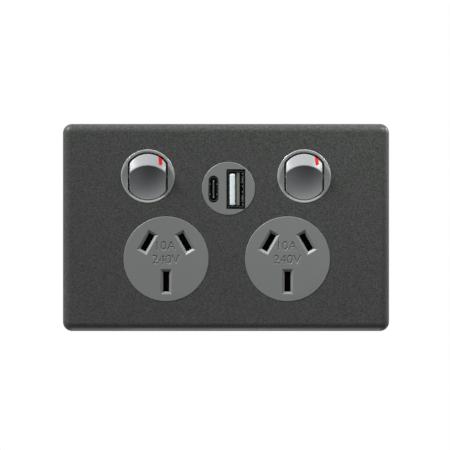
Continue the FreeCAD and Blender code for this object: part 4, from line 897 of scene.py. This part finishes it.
def pale_floor(drop):
    """A wide level floor of pale board, which reads white and still takes the shadow."""
    mesh = bpy.data.meshes.new("floor")
    ways = ((-1, -1), (1, -1), (1, 1), (-1, 1))
    corners = [(FLOOR_REACH * x, FLOOR_REACH * y, -drop) for x, y in ways]
    mesh.from_pydata(corners, [], [(0, 1, 2, 3)])
    floor = bpy.data.objects.new("floor", mesh)
    bpy.context.scene.collection.objects.link(floor)
    finish = Finish("floor_board", FLOOR_GREY, 0.9, 0.0)
    seen = seen_directly(finish.tree)
    glow = finish.node("ShaderNodeMath", {0: seen, 1: FLOOR_GLOW}, operation="MULTIPLY")
    finish.shader.inputs["Emission Color"].default_value = WHITE
    finish.feed("Emission Strength", glow.outputs[0])
    mesh.materials.append(finish.material)
    return floor


def surroundings(scene):
    """White where it is seen, and a soft low light elsewhere."""
    scene.world = bpy.data.worlds.new("surroundings")
    scene.world.use_nodes = True
    tree = scene.world.node_tree
    strength = tree.nodes.new("ShaderNodeMapRange")
    strength.inputs["To Min"].default_value = SOFT_LIGHT
    strength.inputs["To Max"].default_value = 1.0
    tree.links.new(seen_directly(tree), strength.inputs["Value"])
    background = tree.nodes["Background"]
    background.inputs["Color"].default_value = WHITE
    tree.links.new(strength.outputs["Result"], background.inputs["Strength"])


def lamp(name, place, size, power):
    """A round area lamp that looks at the middle of the plate."""
    data = bpy.data.lights.new(name, "AREA")
    data.shape = "DISK"
    data.size = size
    data.energy = power
    item = bpy.data.objects.new(name, data)
    item.location = place
    item.rotation_euler = (-Vector(place)).to_track_quat("-Z", "Y").to_euler()
    bpy.context.scene.collection.objects.link(item)


class WALLSOCKET_PT_panel(bpy.types.Panel):
    bl_idname = "WALLSOCKET_PT_panel"
    bl_label = "Wall Socket"
    bl_space_type = "VIEW_3D"
    bl_region_type = "UI"
    bl_category = "Wall Socket"

    def draw(self, context):
        for operator in OPERATORS:
            self.layout.operator(operator.bl_idname)
        for group in GROUPS:
            box = self.layout.box()
            settings = getattr(context.scene, GROUPS[group])
            for name in group.__annotations__:
                box.prop(settings, name)


OPERATORS = (
    WALLSOCKET_OT_finishes,
    WALLSOCKET_OT_rockers,
    WALLSOCKET_OT_figures,
    WALLSOCKET_OT_ports,
    WALLSOCKET_OT_stage,
)
GROUPS = {
    SwitchSizes: "wall_socket_switches",
    FaceSizes: "wall_socket_faces",
    FigureSizes: "wall_socket_figures",
    FinishColours: "wall_socket_colours",
    StageSettings: "wall_socket_stage",
}
CLASSES = (*GROUPS, *OPERATORS, WALLSOCKET_PT_panel)


def register():
    for item in CLASSES:
        bpy.utils.register_class(item)
    for group, name in GROUPS.items():
        setattr(bpy.types.Scene, name, PointerProperty(type=group))


def unregister():
    for name in GROUPS.values():
        delattr(bpy.types.Scene, name)
    for item in reversed(CLASSES):
        bpy.utils.unregister_class(item)


def main():
    register()
    for operator in OPERATORS:
        group, _, name = operator.bl_idname.partition(".")
        getattr(getattr(bpy.ops, group), name)()


if __name__ == "__main__":
    main()
